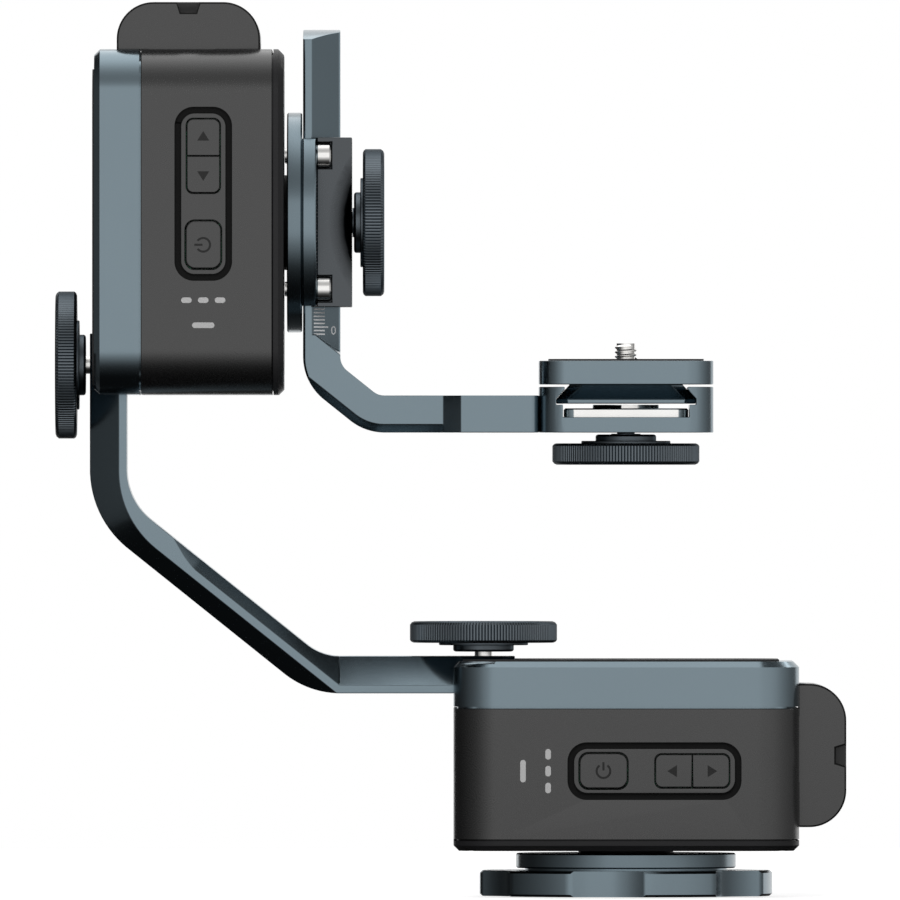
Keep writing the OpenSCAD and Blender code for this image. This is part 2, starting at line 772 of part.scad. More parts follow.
module cover_screws_body() {
    cover_screw_places() {
        translate([0, 0, 0.2]) cylinder(d1 = 5.6, d2 = cover_screw_d, h = 1.3);
        translate([0, 0, 0.2]) cylinder(d = cover_screw_d, h = top_z + 6.5);
    }
}

// A clamping knob on +Z whose seat is at z = 0, and its screw
module knob_body(stand_off, screw_d) {
    step_z = stand_off + flange_h;
    rim_z = step_z + knob_step_h;
    top = rim_z + knob_h;
    rim = knob_d / 2;
    rotate_extrude()
        polygon([
            [screw_d / 2, stand_off], [flange_d / 2 - 0.4, stand_off], [flange_d / 2, stand_off + 0.4],
            [flange_d / 2, step_z], [knob_step_d / 2, step_z], [knob_step_d / 2, rim_z],
            [rim - 0.7, rim_z], [rim, rim_z + 0.7], [rim, top - 1], [rim - 1, top], [rim - 4, top],
            [rim - 5, top - 0.6], [8, top - 0.6], [7, top], [0, top], [0, top - 2], [screw_d / 2, top - 2]
        ]);
}
module knob_neck(stand_off, screw_d, clear) {
    translate([0, 0, clear])
        difference() {
            cylinder(d = neck_d, h = stand_off + small_hole - clear);
            translate([0, 0, -e]) cylinder(d = screw_d, h = far);
        }
}
module knob_screw_body(stand_off, screw_d, reach) {
    top = stand_off + flange_h + knob_step_h + knob_h - 2;
    translate([0, 0, -reach]) cylinder(d = screw_d, h = reach + top);
}
module at_arm_knob() {
    translate([-knob_offset, 0, seat_z + arm_t]) children();
}

// Foot and pan rotor
module base_foot() {
    scallop_half = foot_d / 2 * sin(90 / scallop_count);
    scallop_r = (scallop_half * scallop_half + scallop_depth * scallop_depth) / 2 / scallop_depth;
    scallop_mid = foot_d / 2 * cos(90 / scallop_count) - scallop_depth + scallop_r;
    lobe_turn = -90 + 22.5;
    color(grey_blue)
        difference() {
            union() {
                disc(foot_d, foot_h, foot_chamfer);
                cylinder(d = spigot_d, h = foot_h + spigot_h);
            }
            for (k = [0 : scallop_count - 1])
                rotate([0, 0, lobe_turn + (k + 0.5) * 360 / scallop_count])
                    translate([scallop_mid, 0, -e]) cylinder(r = scallop_r, h = foot_h + 2 * e);
            translate([0, 0, -e]) cylinder(d = tripod_d, h = far);
            foot_screw_places() {
                translate([0, 0, -e]) cylinder(d = foot_screw_d + 2 * small_hole, h = far);
                translate([0, 0, -e]) cylinder(d1 = 8.8, d2 = foot_screw_d, h = 2.6);
            }
        }
}
module foot_screw_places() {
    for (a = [45 : 90 : 315])
        rotate([0, 0, a]) translate([foot_screw_r, 0, 0]) children();
}
module base_screws() {
    reach = foot_h + spigot_h + rotor_h;
    color(steel)
        foot_screw_places() {
            translate([0, 0, 0.3]) cylinder(d1 = foot_head_d, d2 = foot_screw_d - 0.2, h = 2);
            translate([0, 0, 0.3]) cylinder(d = foot_screw_d, h = reach - 0.6);
        }
}
module pan_rotor_disc() {
    places = [for (a = [45 : 90 : 315]) foot_screw_r * along(a)];
    color(grey_blue) at_pan() rotor_disc(places, foot_screw_d);
}
module pan_output_shaft() {
    color(black_part) at_pan() output_shaft(tripod_d + 0.6, 4);
}
module pan_output_gear() {
    color(brass_gold) at_pan() output_gear();
}

// Pan module
module pan_housing() {
    color(black_shell) at_pan() housing_body();
}
module pan_bottom_cover() {
    color(black_part) at_pan() bottom_cover_body();
}
module pan_top_cover() {
    color(grey_blue) at_pan() top_cover_body();
}
module pan_top_pad() {
    color(black_part) at_pan() top_pad_body();
}
module pan_bearing() {
    color(steel) at_pan() bearing_body();
}
module pan_motor() {
    color(dark_grey) at_pan() motor_body();
}
module pan_motor_plate() {
    color(grey_blue) at_pan() motor_plate_body();
}
module pan_motor_pinion() {
    color(brass_gold) at_pan() motor_pinion_body();
}
module pan_control_board() {
    color(board_green) at_pan() control_board_body();
}
module pan_button_panel() {
    color(black_shell) at_pan() button_panel_body();
}
module pan_power_button() {
    color(black_shell) at_pan() power_button_body();
}
module pan_left_button() {
    color(black_shell) at_pan() arrow_button_body(-1);
}
module pan_right_button() {
    color(black_shell) at_pan() arrow_button_body(1);
}
module pan_indicator_lights() {
    color(light_white) at_pan() light_places() stadium(light_w - 0.04, $light_h - 0.04);
}
module pan_battery() {
    color(black_shell) at_pan() battery_body();
}
module pan_cover_screws() {
    color(steel) at_pan() cover_screws_body();
}

// Tilt module
module tilt_housing() {
    color(black_shell) at_tilt() housing_body();
}
module tilt_bottom_cover() {
    color(black_part) at_tilt() bottom_cover_body();
}
module tilt_top_cover() {
    color(grey_blue) at_tilt() top_cover_body();
}
module tilt_top_pad() {
    color(black_part) at_tilt() top_pad_body();
}
module tilt_bearing() {
    color(steel) at_tilt() bearing_body();
}
module tilt_motor() {
    color(dark_grey) at_tilt() motor_body();
}
module tilt_motor_plate() {
    color(grey_blue) at_tilt() motor_plate_body();
}
module tilt_motor_pinion() {
    color(brass_gold) at_tilt() motor_pinion_body();
}
module tilt_control_board() {
    color(board_green) at_tilt() control_board_body();
}
module tilt_button_panel() {
    color(black_shell) at_tilt() button_panel_body();
}
module tilt_power_button() {
    color(black_shell) at_tilt() power_button_body();
}
module tilt_down_button() {
    color(black_shell) at_tilt() arrow_button_body(-1);
}
module tilt_up_button() {
    color(black_shell) at_tilt() arrow_button_body(1);
}
module tilt_indicator_lights() {
    color(light_white) at_tilt() light_places() stadium(light_w - 0.04, $light_h - 0.04);
}
module tilt_battery() {
    color(black_shell) at_tilt() battery_body();
}
module tilt_cover_screws() {
    color(steel) at_tilt() cover_screws_body();
}

// Link arm: a bar bent twice, its ends bevelled to a dovetail that the top covers hold
module link_arm() {
    start = [link_x, link_top];
    upper = [link_x, slant_z(link_corner, link_x, 0)];
    end = [-seat_end, link_z];
    path = [start, upper, link_corner, end];
    radii = [0, link_upper_r, link_lower_r, 0];

    // Outer bevel: down the upright and along the lower edge of the slanted run
    strip_x = link_x + arm_t / 2 - edge_strip;
    low_offset = arm_t / 2 - slant_bevel - edge_strip;
    outer_end_x = link_corner[0] + 15;
    outer = [
        [strip_x, link_top + 2],
        [strip_x, slant_z(link_corner, strip_x, low_offset)],
        [outer_end_x, slant_z(link_corner, outer_end_x, low_offset)]
    ];

    // Upper bevel of the slanted run, with its curved run-out below the upper bend
    high_offset = arm_t / 2 - slant_bevel;
    strip_z = link_z - arm_t / 2 + edge_strip;
    mitre_x = slant_x(link_corner, strip_z, high_offset);
    runout_x = link_x + link_upper_r - 0.5;
    runout_p = [runout_x, slant_z(link_corner, runout_x, high_offset)];
    runout_set = runout_r * tan(runout_turn / 2);
    runout_c = runout_p + runout_set * along(-slant) + runout_r * along(90 - slant);

    color(grey_blue)
        difference() {
            in_side_view(link_w) bent_outline(path, radii, arm_t);
            outer_bevel(outer, link_upper_r + 5, link_w, 13);
            intersection() {
                intersection_for (k = [0 : 3]) {
                    a = -slant - k * runout_turn / 3;
                    foot = runout_c + runout_r * along(a - 90);
                    run(foot - far * along(a), foot + 2 * far * along(a)) bevel_section(link_w, -1, far, 14);
                }
                translate([runout_x - 8, -far, 0]) cube([mitre_x - runout_x + 8, 2 * far, 3 * far]);
            }
            run([mitre_x, strip_z], [end[0] + 2, strip_z]) bevel_section(link_w, -1, 12, 11);
            translate([-knob_offset, 0, 0]) cylinder(d = knob_screw_d + 2 * gap, h = 2 * far);
            translate([0, 0, tilt_z - knob_offset]) rotate([0, -90, 0])
                cylinder(d = knob_screw_d + 2 * gap, h = 4 * far);
        }
}

// Arm knobs
module pan_arm_knob() {
    color(knob_grey) at_pan() at_arm_knob() knob_body(arm_knob_gap, knob_screw_d);
}
module pan_arm_screw() {
    color(steel) at_pan() at_arm_knob() knob_screw_body(arm_knob_gap, knob_screw_d, arm_t + 3.6);
}
module tilt_arm_knob() {
    color(knob_grey) at_tilt() at_arm_knob() knob_body(arm_knob_gap, knob_screw_d);
}
module tilt_arm_screw() {
    color(steel) at_tilt() at_arm_knob() knob_screw_body(arm_knob_gap, knob_screw_d, arm_t + 3.6);
}

// Tilt rotor with the clamp for the camera arm
clamp_places = [for (x = [-1, 1], y = [-1, 1]) [x * clamp_screw_l / 2, y * clamp_screw_w / 2]];
module tilt_rotor_disc() {
    color(grey_blue) at_tilt() rotor_disc(clamp_places, cap_screw_d);
}
module tilt_output_shaft() {
    color(black_part) at_tilt() output_shaft(clamp_screw_d + 2 * running, 9);
}
module tilt_output_gear() {
    color(brass_gold) at_tilt() output_gear();
}
module clamp_side_blocks() {
    color(grey_blue) at_clamp()
        difference() {
            intersection() {
                disc(rotor_d, block_t, 0.4);
                translate([0, 0, block_t / 2]) cube([clamp_l - 0.6, rotor_d, block_t + 1], center = true);
            }
            cube([far * 2, rail_w + 2 * gap, far], center = true);
            for (p = clamp_places)
                translate([p[0], p[1], -e]) cylinder(d = cap_screw_d + 2 * small_hole, h = far);
        }
}
module clamp_cap_screws() {
    tip = rotor_h + rotor_gap - gap;
    color(steel) at_clamp()
        for (p = clamp_places)
            translate([p[0], p[1], 0])
                difference() {
                    union() {
                        translate([0, 0, -tip]) cylinder(d = cap_screw_d, h = tip + block_t + e);
                        translate([0, 0, block_t]) disc(cap_head_d, cap_head_h, 0.4);
                    }
                    translate([0, 0, block_t + cap_head_h - 2]) cylinder(d = 3.46, h = 3, $fn = 6);
                }
}
module clamp_jaw() {
    low = block_t + 0.2;
    room = gap * 2;
    head_z = block_t + cap_head_h + gap;
    slope_half = rail_w / 2 + rail_lip_top + room;
    strip_half = rail_w / 2 - rail_depth + room;
    floor_z = rail_back + arm_t + gap;
    color(dark_grey) at_clamp()
        difference() {
            translate([-clamp_l / 2, -jaw_w / 2, low]) cube([clamp_l, jaw_w, jaw_top - low]);
            rotate([90, 0, 90]) linear_extrude(2 * far, center = true)
                polygon([
                    [low - 1 - slope_half, low - 1], [slope_half - low + 1, low - 1],
                    [strip_half, slope_half - strip_half], [strip_half, floor_z],
                    [-strip_half, floor_z], [-strip_half, slope_half - strip_half]
                ]);
            for (p = clamp_places)
                translate([p[0] - cap_head_d / 2 - gap,
                           p[1] > 0 ? p[1] - cap_head_d / 2 - gap : -far, low - 1])
                    cube([cap_head_d + 2 * gap, far + cap_head_d / 2 + gap - abs(p[1]), head_z - low + 1]);
            for (m = [0, 1])
                mirror([0, m, 0])
                    translate([0, -jaw_w / 2, jaw_top + scoop_r - scoop_l])
                        rotate([-90, 0, 0]) finger_scoop();
            cylinder(d = clamp_screw_d + 2 * running, h = far);
        }
}
module finger_scoop() {
    round_r = (scoop_l * scoop_l + scoop_depth * scoop_depth) / (2 * scoop_depth);
    way = [for (t = [8:16:72]) [round_r * sin(t), round_r * (1 - cos(t))]];
    last = len(way) - 1;
    fall = (way[1][1] - way[0][1]) / (way[1][0] - way[0][0]);
    steep = (way[last][1] - way[last - 1][1]) / (way[last][0] - way[last - 1][0]);
    low_end = [way[0][0] - (way[0][1] + 1) / fall, -1];
    high_end = [scoop_l + 1, way[last][1] + (scoop_l + 1 - way[last][0]) * steep];
    rotate_extrude()
        polygon(concat(
            [[0, -1]],
            [for (p = concat([low_end], way, [high_end])) [scoop_r - p[0], p[1]]],
            [[0, high_end[1]]]
        ));
}
module clamp_knob() {
    color(knob_grey) at_clamp() translate([0, 0, jaw_top]) {
        knob_body(clamp_knob_gap, clamp_screw_d);
        knob_neck(clamp_knob_gap, clamp_screw_d, small_hole);
    }
}
module clamp_knob_screw() {
    color(steel) at_clamp() translate([0, 0, jaw_top])
        knob_screw_body(clamp_knob_gap, clamp_screw_d, jaw_top + rotor_h + rotor_gap + 7);
}

// Camera arm: a dovetail rail that slides in the clamp, bent twice towards the quick release
module camera_arm() {
    top = tilt_z + rail_top;
    upper = [rail_x, slant_z(rail_corner, rail_x, 0)];
    path = [[rail_x, top], upper, rail_corner, [block_x + 1, rail_z]];
    lip_x = rail_x - arm_t / 2 + rail_lip;
    runout_end = [lip_x + far, slant_z(rail_corner, lip_x + far, runout)];
    runout_start = [lip_x - 2 * far, slant_z(rail_corner, lip_x - 2 * far, runout)];
    low_r = rail_r + arm_t / 2 - rail_bevel;
    low_x = rail_corner[0] - 2 * rail_r - 12;
    low_z = rail_bottom + rail_bevel;
    low_corner = [slant_x(rail_corner, low_z, rail_bevel - arm_t / 2), low_z];
    low = [[low_x, slant_z(rail_corner, low_x, rail_bevel - arm_t / 2)], low_corner, [block_x, low_z]];
    color(grey_blue)
        difference() {
            union() {
                in_side_view(rail_w) bent_outline(path, [0, rail_r, rail_r, 0], arm_t);
                translate([0, 0, rail_bottom]) linear_extrude(arm_t) block_outline();
            }
            intersection() {
                run([lip_x, top + 2], [lip_x, upper[1] - far]) bevel_section(rail_w, -1, 14, rail_depth);
                union() {
                    run(runout_start, runout_end) bevel_section(rail_w, -1, 2 * far, rail_w / 2 - 1, 12);
                    translate([lip_x - far, -far, slant_z(rail_corner, lip_x + 1, runout)]) cube(2 * far);
                }
            }
            outer_bevel(low, low_r, rail_w, 6);
            difference() {
                translate([rail_x, 0, top]) cube([2 * arm_t, 2 * rail_w, 12], center = true);
                translate([rail_x, 0, top - rail_end_r]) rotate([0, 90, 0])
                    cylinder(r = rail_end_r, h = 3 * arm_t, center = true);
            }
            rail_slot();
            translate([-qr_l / 2 - tenon[0] - small_hole, -tenon[1] / 2 - small_hole, tenon_z - small_hole])
                cube([far, tenon[1] + 2 * small_hole, tenon[2] + 2 * small_hole]);
            tenon_screw_places() {
                translate([0, 0, -e]) cylinder(d = cover_screw_d + 2 * small_hole, h = 5);
                translate([0, 0, -e]) cylinder(d1 = 6.4, d2 = 3.2, h = 1.7);
            }
        }
}
module block_outline() {
    inner = block_x + shoulder;
    polygon([
        [block_x, -rail_w / 2], [inner, -block_w / 2], [-qr_l / 2 - 2.5, -block_w / 2],
        [-qr_l / 2, 2.5 - block_w / 2], [-qr_l / 2, block_w / 2 - 2.5],
        [-qr_l / 2 - 2.5, block_w / 2], [inner, block_w / 2], [block_x, rail_w / 2]
    ]);
    for (y = [-1, 1])
        translate([-qr_l / 2 - 2.5, y * (block_w / 2 - 2.5)]) circle(2.5);
}
module rail_slot() {
    translate([rail_x, 0, tilt_z]) rotate([0, 90, 0]) {
        translate([-slide_down - 0.5, -rail_slot_w / 2, -arm_t])
            cube([slide_down + slide_up + 1, rail_slot_w, 2 * arm_t]);
        for (x = [-slide_down - 0.5, slide_up + 0.5])
            translate([x, 0, 0]) cylinder(d = rail_slot_w, h = 2 * arm_t, center = true);
    }
}
module tenon_screw_places() {
    for (y = [-1, 1])
        translate([-qr_l / 2 - tenon[0] / 2, y * tenon_screw_y, rail_bottom]) children();
}

// Quick release
function dovetail_half(z) = dovetail_w / 2 - max(0, z - dovetail_low - dovetail_side) * 0.93;
module rounded_prism(profile_h) {
    intersection() {
        translate([0, qr_w / 2, 0]) rotate([90, 0, 0]) linear_extrude(qr_w) children();
        translate([0, 0, -1]) plate(qr_l, qr_w, profile_h + 2, qr_r);
    }
}
module qr_clamp_base() {
    half = qr_l / 2;
    inside = lock_pad_l / 2 + gap;
    notch = dovetail_half(0) + slide_fit;
    ledge = dovetail_low - gap;
    lip_z = qr_h - 0.8;
    lip = dovetail_half(lip_z) + slide_fit;
    color(grey_blue)
        difference() {
            union() {
                at_qr() rounded_prism(qr_h)
                    difference() {
                        translate([-half, 0]) square([qr_l, qr_h]);
                        polygon([
                            [-inside, qr_floor], [inside, qr_floor], [inside, ledge], [notch, ledge],
                            [notch, dovetail_low + dovetail_side], [lip, lip_z], [lip, qr_h + 1],
                            [-lip, qr_h + 1], [-lip, lip_z], [-notch, dovetail_low + dovetail_side],
                            [-notch, ledge], [-inside, ledge]
                        ]);
                    }
                translate([-half - tenon[0], -tenon[1] / 2, tenon_z])
                    cube([tenon[0] + 1.5, tenon[1], tenon[2]]);
            }
            at_qr() translate([0, 0, -1]) cylinder(d = knob_screw_d + 2 * running, h = far);
            tenon_screw_places() cylinder(d = cover_screw_d + 2 * small_hole, h = far);
        }
}
module qr_base_screws() {
    color(steel)
        tenon_screw_places() {
            translate([0, 0, 0.2]) cylinder(d1 = 5.6, d2 = cover_screw_d, h = 1.3);
            translate([0, 0, 0.2]) cylinder(d = cover_screw_d, h = tenon_z - rail_bottom + tenon[2] - 1);
        }
}
module qr_lock_pad() {
    color(steel) at_qr() translate([0, 0, qr_floor])
        difference() {
            union() {
                chamfered_plate(lock_pad_l, lock_pad_w, lock_pad_h, 3.4, 0.4);
                translate([0, 0, lock_pad_h - e]) cylinder(d = lock_boss_d, h = lock_boss_h + e);
            }
            translate([0, 0, -e]) cylinder(d = knob_screw_d + 2 * running, h = 1.6);
        }
}
module qr_knob() {
    color(knob_grey) at_qr() rotate([180, 0, 0]) {
        knob_body(clamp_knob_gap, knob_screw_d);
        knob_neck(clamp_knob_gap, knob_screw_d, lock_lift + small_hole);
    }
}
module qr_knob_screw() {
    color(steel) at_qr() rotate([180, 0, 0]) knob_screw_body(clamp_knob_gap, knob_screw_d, qr_floor + 1.5);
}
module qr_plate() {
    foot_half = dovetail_w / 2;
    neck_half = dovetail_half(plate_under);
    end_z = dovetail_low + dovetail_side - 0.1;
    end_rise = plate_under - end_z;
    end_half = qr_w / 2 - end_rise - 0.4;
    head_room = dovetail_low + 3.4;
    color(grey_blue)
        at_qr() difference() {
            union() {
                translate([0, 0, plate_under]) plate(qr_l, qr_w, plate_h, qr_r);
                intersection() {
                    rotate([90, 0, 0]) linear_extrude(qr_w, center = true)
                        polygon([
                            [-foot_half, dovetail_low], [foot_half, dovetail_low],
                            [foot_half, dovetail_low + dovetail_side], [neck_half, plate_under],
                            [neck_half, plate_under + 1], [-neck_half, plate_under + 1],
                            [-neck_half, plate_under], [-foot_half, dovetail_low + dovetail_side]
                        ]);
                    rotate([90, 0, 90]) linear_extrude(qr_l, center = true)
                        polygon([
                            [-end_half, dovetail_low - 1], [end_half, dovetail_low - 1], [end_half, end_z],
                            [end_half + end_rise, plate_under], [end_half + end_rise, plate_under + 2],
                            [-end_half - end_rise, plate_under + 2], [-end_half - end_rise, plate_under],
                            [-end_half, end_z]
                        ]);
                    linear_extrude(far) dovetail_outline(end_half + end_rise);
                }
            }
            cylinder(d = camera_screw_d + 2 * running, h = far);
            cylinder(d = camera_head_d + 1, h = head_room);
        }
}
module dovetail_outline(half_l) {
    cut = end_cut + dovetail_rise;
    half_w = dovetail_w / 2 + 1;
    polygon([
        [-half_w, half_l - cut - 1], [cut - half_w + 1, half_l],
        [half_w - cut - 1, half_l], [half_w, half_l - cut - 1],
        [half_w, cut + 1 - half_l], [half_w - cut - 1, -half_l],
        [cut - half_w + 1, -half_l], [-half_w, cut + 1 - half_l]
    ]);
}
module qr_plate_pad() {
    color(black_part) at_qr() translate([0, 0, plate_under + plate_h])
        difference() {
            plate(plate_pad_l, qr_w - 6, plate_pad_h, qr_r - 2);
            translate([0, 0, -e]) cylinder(d = camera_screw_d + 1, h = 2);
        }
}
module camera_screw() {
    head_z = dovetail_low + 0.4;
    tip = plate_under + plate_h + plate_pad_h + camera_screw_l;
    color(steel) at_qr()
        difference() {
            union() {
                translate([0, 0, head_z]) disc(camera_head_d, 2.7, 0.4);
                translate([0, 0, head_z]) cylinder(d = camera_screw_d - 0.8, h = tip - head_z - 1);
                translate([0, 0, tip - camera_screw_l]) cylinder(d = camera_screw_d, h = camera_screw_l);
            }
            translate([-camera_head_d, -slot_w / 2, head_z - 1]) cube([2 * camera_head_d, slot_w, 2.2]);
        }
}

base_foot();
base_screws();
pan_rotor_disc();
pan_output_shaft();
pan_output_gear();
pan_housing();
pan_bottom_cover();
pan_top_cover();
pan_top_pad();
pan_bearing();
pan_motor();
pan_motor_plate();
pan_motor_pinion();
pan_control_board();
pan_button_panel();
pan_power_button();
pan_left_button();
pan_right_button();
pan_indicator_lights();
pan_battery();
pan_cover_screws();
tilt_housing();
tilt_bottom_cover();
tilt_top_cover();
tilt_top_pad();
tilt_bearing();
tilt_motor();
tilt_motor_plate();
tilt_motor_pinion();
tilt_control_board();
tilt_button_panel();
tilt_power_button();
tilt_down_button();
tilt_up_button();
tilt_indicator_lights();
tilt_battery();
tilt_cover_screws();
link_arm();
pan_arm_knob();
pan_arm_screw();
tilt_arm_knob();
tilt_arm_screw();
tilt_rotor_disc();
tilt_output_shaft();
tilt_output_gear();
clamp_side_blocks();
clamp_cap_screws();
clamp_jaw();
clamp_knob();
clamp_knob_screw();
camera_arm();
qr_clamp_base();
qr_base_screws();
qr_lock_pad();
qr_knob();
qr_knob_screw();
qr_plate();
qr_plate_pad();
camera_screw();
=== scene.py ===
import json
from math import atan2, pi, radians

import bmesh
import bpy
from mathutils import Matrix, Vector


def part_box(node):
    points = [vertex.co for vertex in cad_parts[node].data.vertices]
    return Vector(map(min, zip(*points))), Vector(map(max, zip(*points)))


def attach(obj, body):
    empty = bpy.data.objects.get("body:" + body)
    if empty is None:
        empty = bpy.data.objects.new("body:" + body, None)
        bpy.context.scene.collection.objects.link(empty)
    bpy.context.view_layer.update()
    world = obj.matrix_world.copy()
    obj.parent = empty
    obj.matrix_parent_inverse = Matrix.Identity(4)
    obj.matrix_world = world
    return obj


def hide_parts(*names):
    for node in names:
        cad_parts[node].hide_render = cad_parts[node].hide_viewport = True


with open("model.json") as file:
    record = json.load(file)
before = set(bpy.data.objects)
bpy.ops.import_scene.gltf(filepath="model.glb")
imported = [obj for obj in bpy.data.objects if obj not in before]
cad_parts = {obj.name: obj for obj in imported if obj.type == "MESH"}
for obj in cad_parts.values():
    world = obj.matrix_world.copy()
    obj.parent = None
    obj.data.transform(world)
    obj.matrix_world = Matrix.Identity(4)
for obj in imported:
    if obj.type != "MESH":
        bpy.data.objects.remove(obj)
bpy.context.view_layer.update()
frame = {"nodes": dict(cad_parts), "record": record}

bl_info = {
    "name": "Motorised pan and tilt head",
    "version": (1, 0, 0),
    "blender": (4, 5, 0),
    "location": "3D View > Sidebar > Pan Head",
    "description": "Dresses the solids of a motorised camera head with fine parts and finishes",
    "category": "Object",
}

MM = 0.001
FINISHES = {}

# Frames of the two drive modules, which are alike: Z leads from the bottom cover to the top cover
PAN_FRAME = Matrix.Translation((0, 0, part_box("pan_bottom_cover")[0].z))
TILT_AXIS_Z = sum(corner.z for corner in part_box("tilt_rotor_disc")) / 2
TILT_FRAME = (
    Matrix.Translation((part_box("tilt_bottom_cover")[1].x, 0, TILT_AXIS_Z))
    @ Matrix.Rotation(radians(-90), 4, "Y")
)

# Distances at which points are merged or count as touching
MERGE = 0.001 * MM
FINE_MERGE = 0.0005 * MM
TOUCH = 0.01 * MM

# Angles at which faces count as one plane, and an edge as sharp
SAME_PLANE = radians(0.4)
SHARP_EDGE = radians(28)

# Sizes of a normal's part along an axis: the face is square to the axis, or runs along it
SQUARE_TO = 0.99
ALONG = 0.01

# Front and back of a printed sign in mm, measured from the surface that carries it
SIGN_FRONT = -0.02
SIGN_BACK = 0.05


# Settings that a user would change

class HeadFinishSettings(bpy.types.PropertyGroup):
    """Colours of the head's finishes, as linear values"""

    anodised: bpy.props.FloatVectorProperty(
        name="Anodised grey", description="Grey-blue of the covers, arms and foot", subtype="COLOR",
        size=3, min=0, max=1, default=(0.197, 0.252, 0.284))
    jaw: bpy.props.FloatVectorProperty(
        name="Clamp jaw", description="Darker grey of the clamp jaw", subtype="COLOR",
        size=3, min=0, max=1, default=(0.09, 0.098, 0.105))
    knob: bpy.props.FloatVectorProperty(
        name="Knobs", description="Dark blue-grey of the ribbed knobs", subtype="COLOR",
        size=3, min=0, max=1, default=(0.132, 0.154, 0.172))
    shell: bpy.props.FloatVectorProperty(
        name="Shell", description="Black moulded plastic of the housings", subtype="COLOR",
        size=3, min=0, max=1, default=(0.004, 0.004, 0.0041))
    black_coat: bpy.props.FloatVectorProperty(
        name="Black coat", description="Coating of the bottom covers and shafts", subtype="COLOR",
        size=3, min=0, max=1, default=(0.012, 0.012, 0.013))
    steel: bpy.props.FloatVectorProperty(
        name="Steel", description="Bright screws and lock pad", subtype="COLOR",
        size=3, min=0, max=1, default=(0.92, 0.91, 0.89))
    marks: bpy.props.FloatVectorProperty(
        name="Scale marks", description="Printed scale on the camera arm", subtype="COLOR",
        size=3, min=0, max=1, default=(0.7, 0.71, 0.72))
    lens: bpy.props.FloatVectorProperty(
        name="Light windows", description="Frosted windows of the indicator lights", subtype="COLOR",
        size=3, min=0, max=1, default=(0.43, 0.43, 0.43))


class HeadDetailSettings(bpy.types.PropertyGroup):
    """Sizes of the fine parts"""

    edge: bpy.props.FloatProperty(
        name="Edge radius", description="Small radius on machined edges", unit="LENGTH",
        default=0.25 * MM, min=0.05 * MM, max=0.5 * MM)
    ribs: bpy.props.IntProperty(
        name="Knob ribs", description="Ribs round a knob's rim", default=150, min=60, max=240)
    rib_depth: bpy.props.FloatProperty(
        name="Rib depth", description="Depth of the grooves between the ribs", unit="LENGTH",
        default=0.26 * MM, min=0.1 * MM, max=0.5 * MM)
    mark_pitch: bpy.props.FloatProperty(
        name="Scale pitch", description="Distance between scale marks", unit="LENGTH",
        default=1 * MM, min=0.5 * MM, max=5 * MM)
    mark_count: bpy.props.IntProperty(
        name="Scale marks", description="Marks on the camera arm's scale", default=44, min=10, max=50)


class HeadStageSettings(bpy.types.PropertyGroup):
    """Camera and light"""

    distance: bpy.props.FloatProperty(
        name="Camera distance", description="Distance of the camera from the pan axis", unit="LENGTH",
        default=10, min=2, max=11)
    width: bpy.props.FloatProperty(
        name="Frame width", description="Width of the picture at the pan axis", unit="LENGTH",
        default=0.2522, min=0.1)
    centre_x: bpy.props.FloatProperty(
        name="Frame centre X", description="Place of the picture's centre", unit="LENGTH",
        default=-0.04928)
    centre_z: bpy.props.FloatProperty(
        name="Frame centre Z", description="Height of the picture's centre", unit="LENGTH",
        default=0.12488)
    fill: bpy.props.FloatProperty(
        name="Fill", description="Strength of the even light on dull surfaces", default=0.12,
        min=0, max=2)
    key: bpy.props.FloatProperty(
        name="Key", description="Power of the front lamp", subtype="POWER", default=46, min=0)
    rim: bpy.props.FloatProperty(
        name="Rim", description="Power of the lamp behind and above", subtype="POWER", default=4, min=0)


# Shader building

# Sockets of the Mix node in its colour form, which share their names with those of its other forms
MIX_FACTOR = 0
MIX_LOW = 6
MIX_HIGH = 7
MIX_RESULT = 2


class Value:
    """A number that varies over a surface; arithmetic on it adds Math nodes"""

    def __init__(self, finish, socket):
        self.finish = finish
        self.socket = socket

    def math(self, operation, a, b=0.0):
        return self.finish.node("ShaderNodeMath", {"operation": operation}, {0: a, 1: b})

    def __add__(self, other):
        return self.math("ADD", self, other)

    __radd__ = __add__

    def __sub__(self, other):
        return self.math("SUBTRACT", self, other)

    def __rsub__(self, other):
        return self.math("SUBTRACT", other, self)

    def __mul__(self, other):
        return self.math("MULTIPLY", self, other)

    __rmul__ = __mul__

    def __truediv__(self, other):
        return self.math("DIVIDE", self, other)

    def __lt__(self, other):
        return self.math("LESS_THAN", self, other)


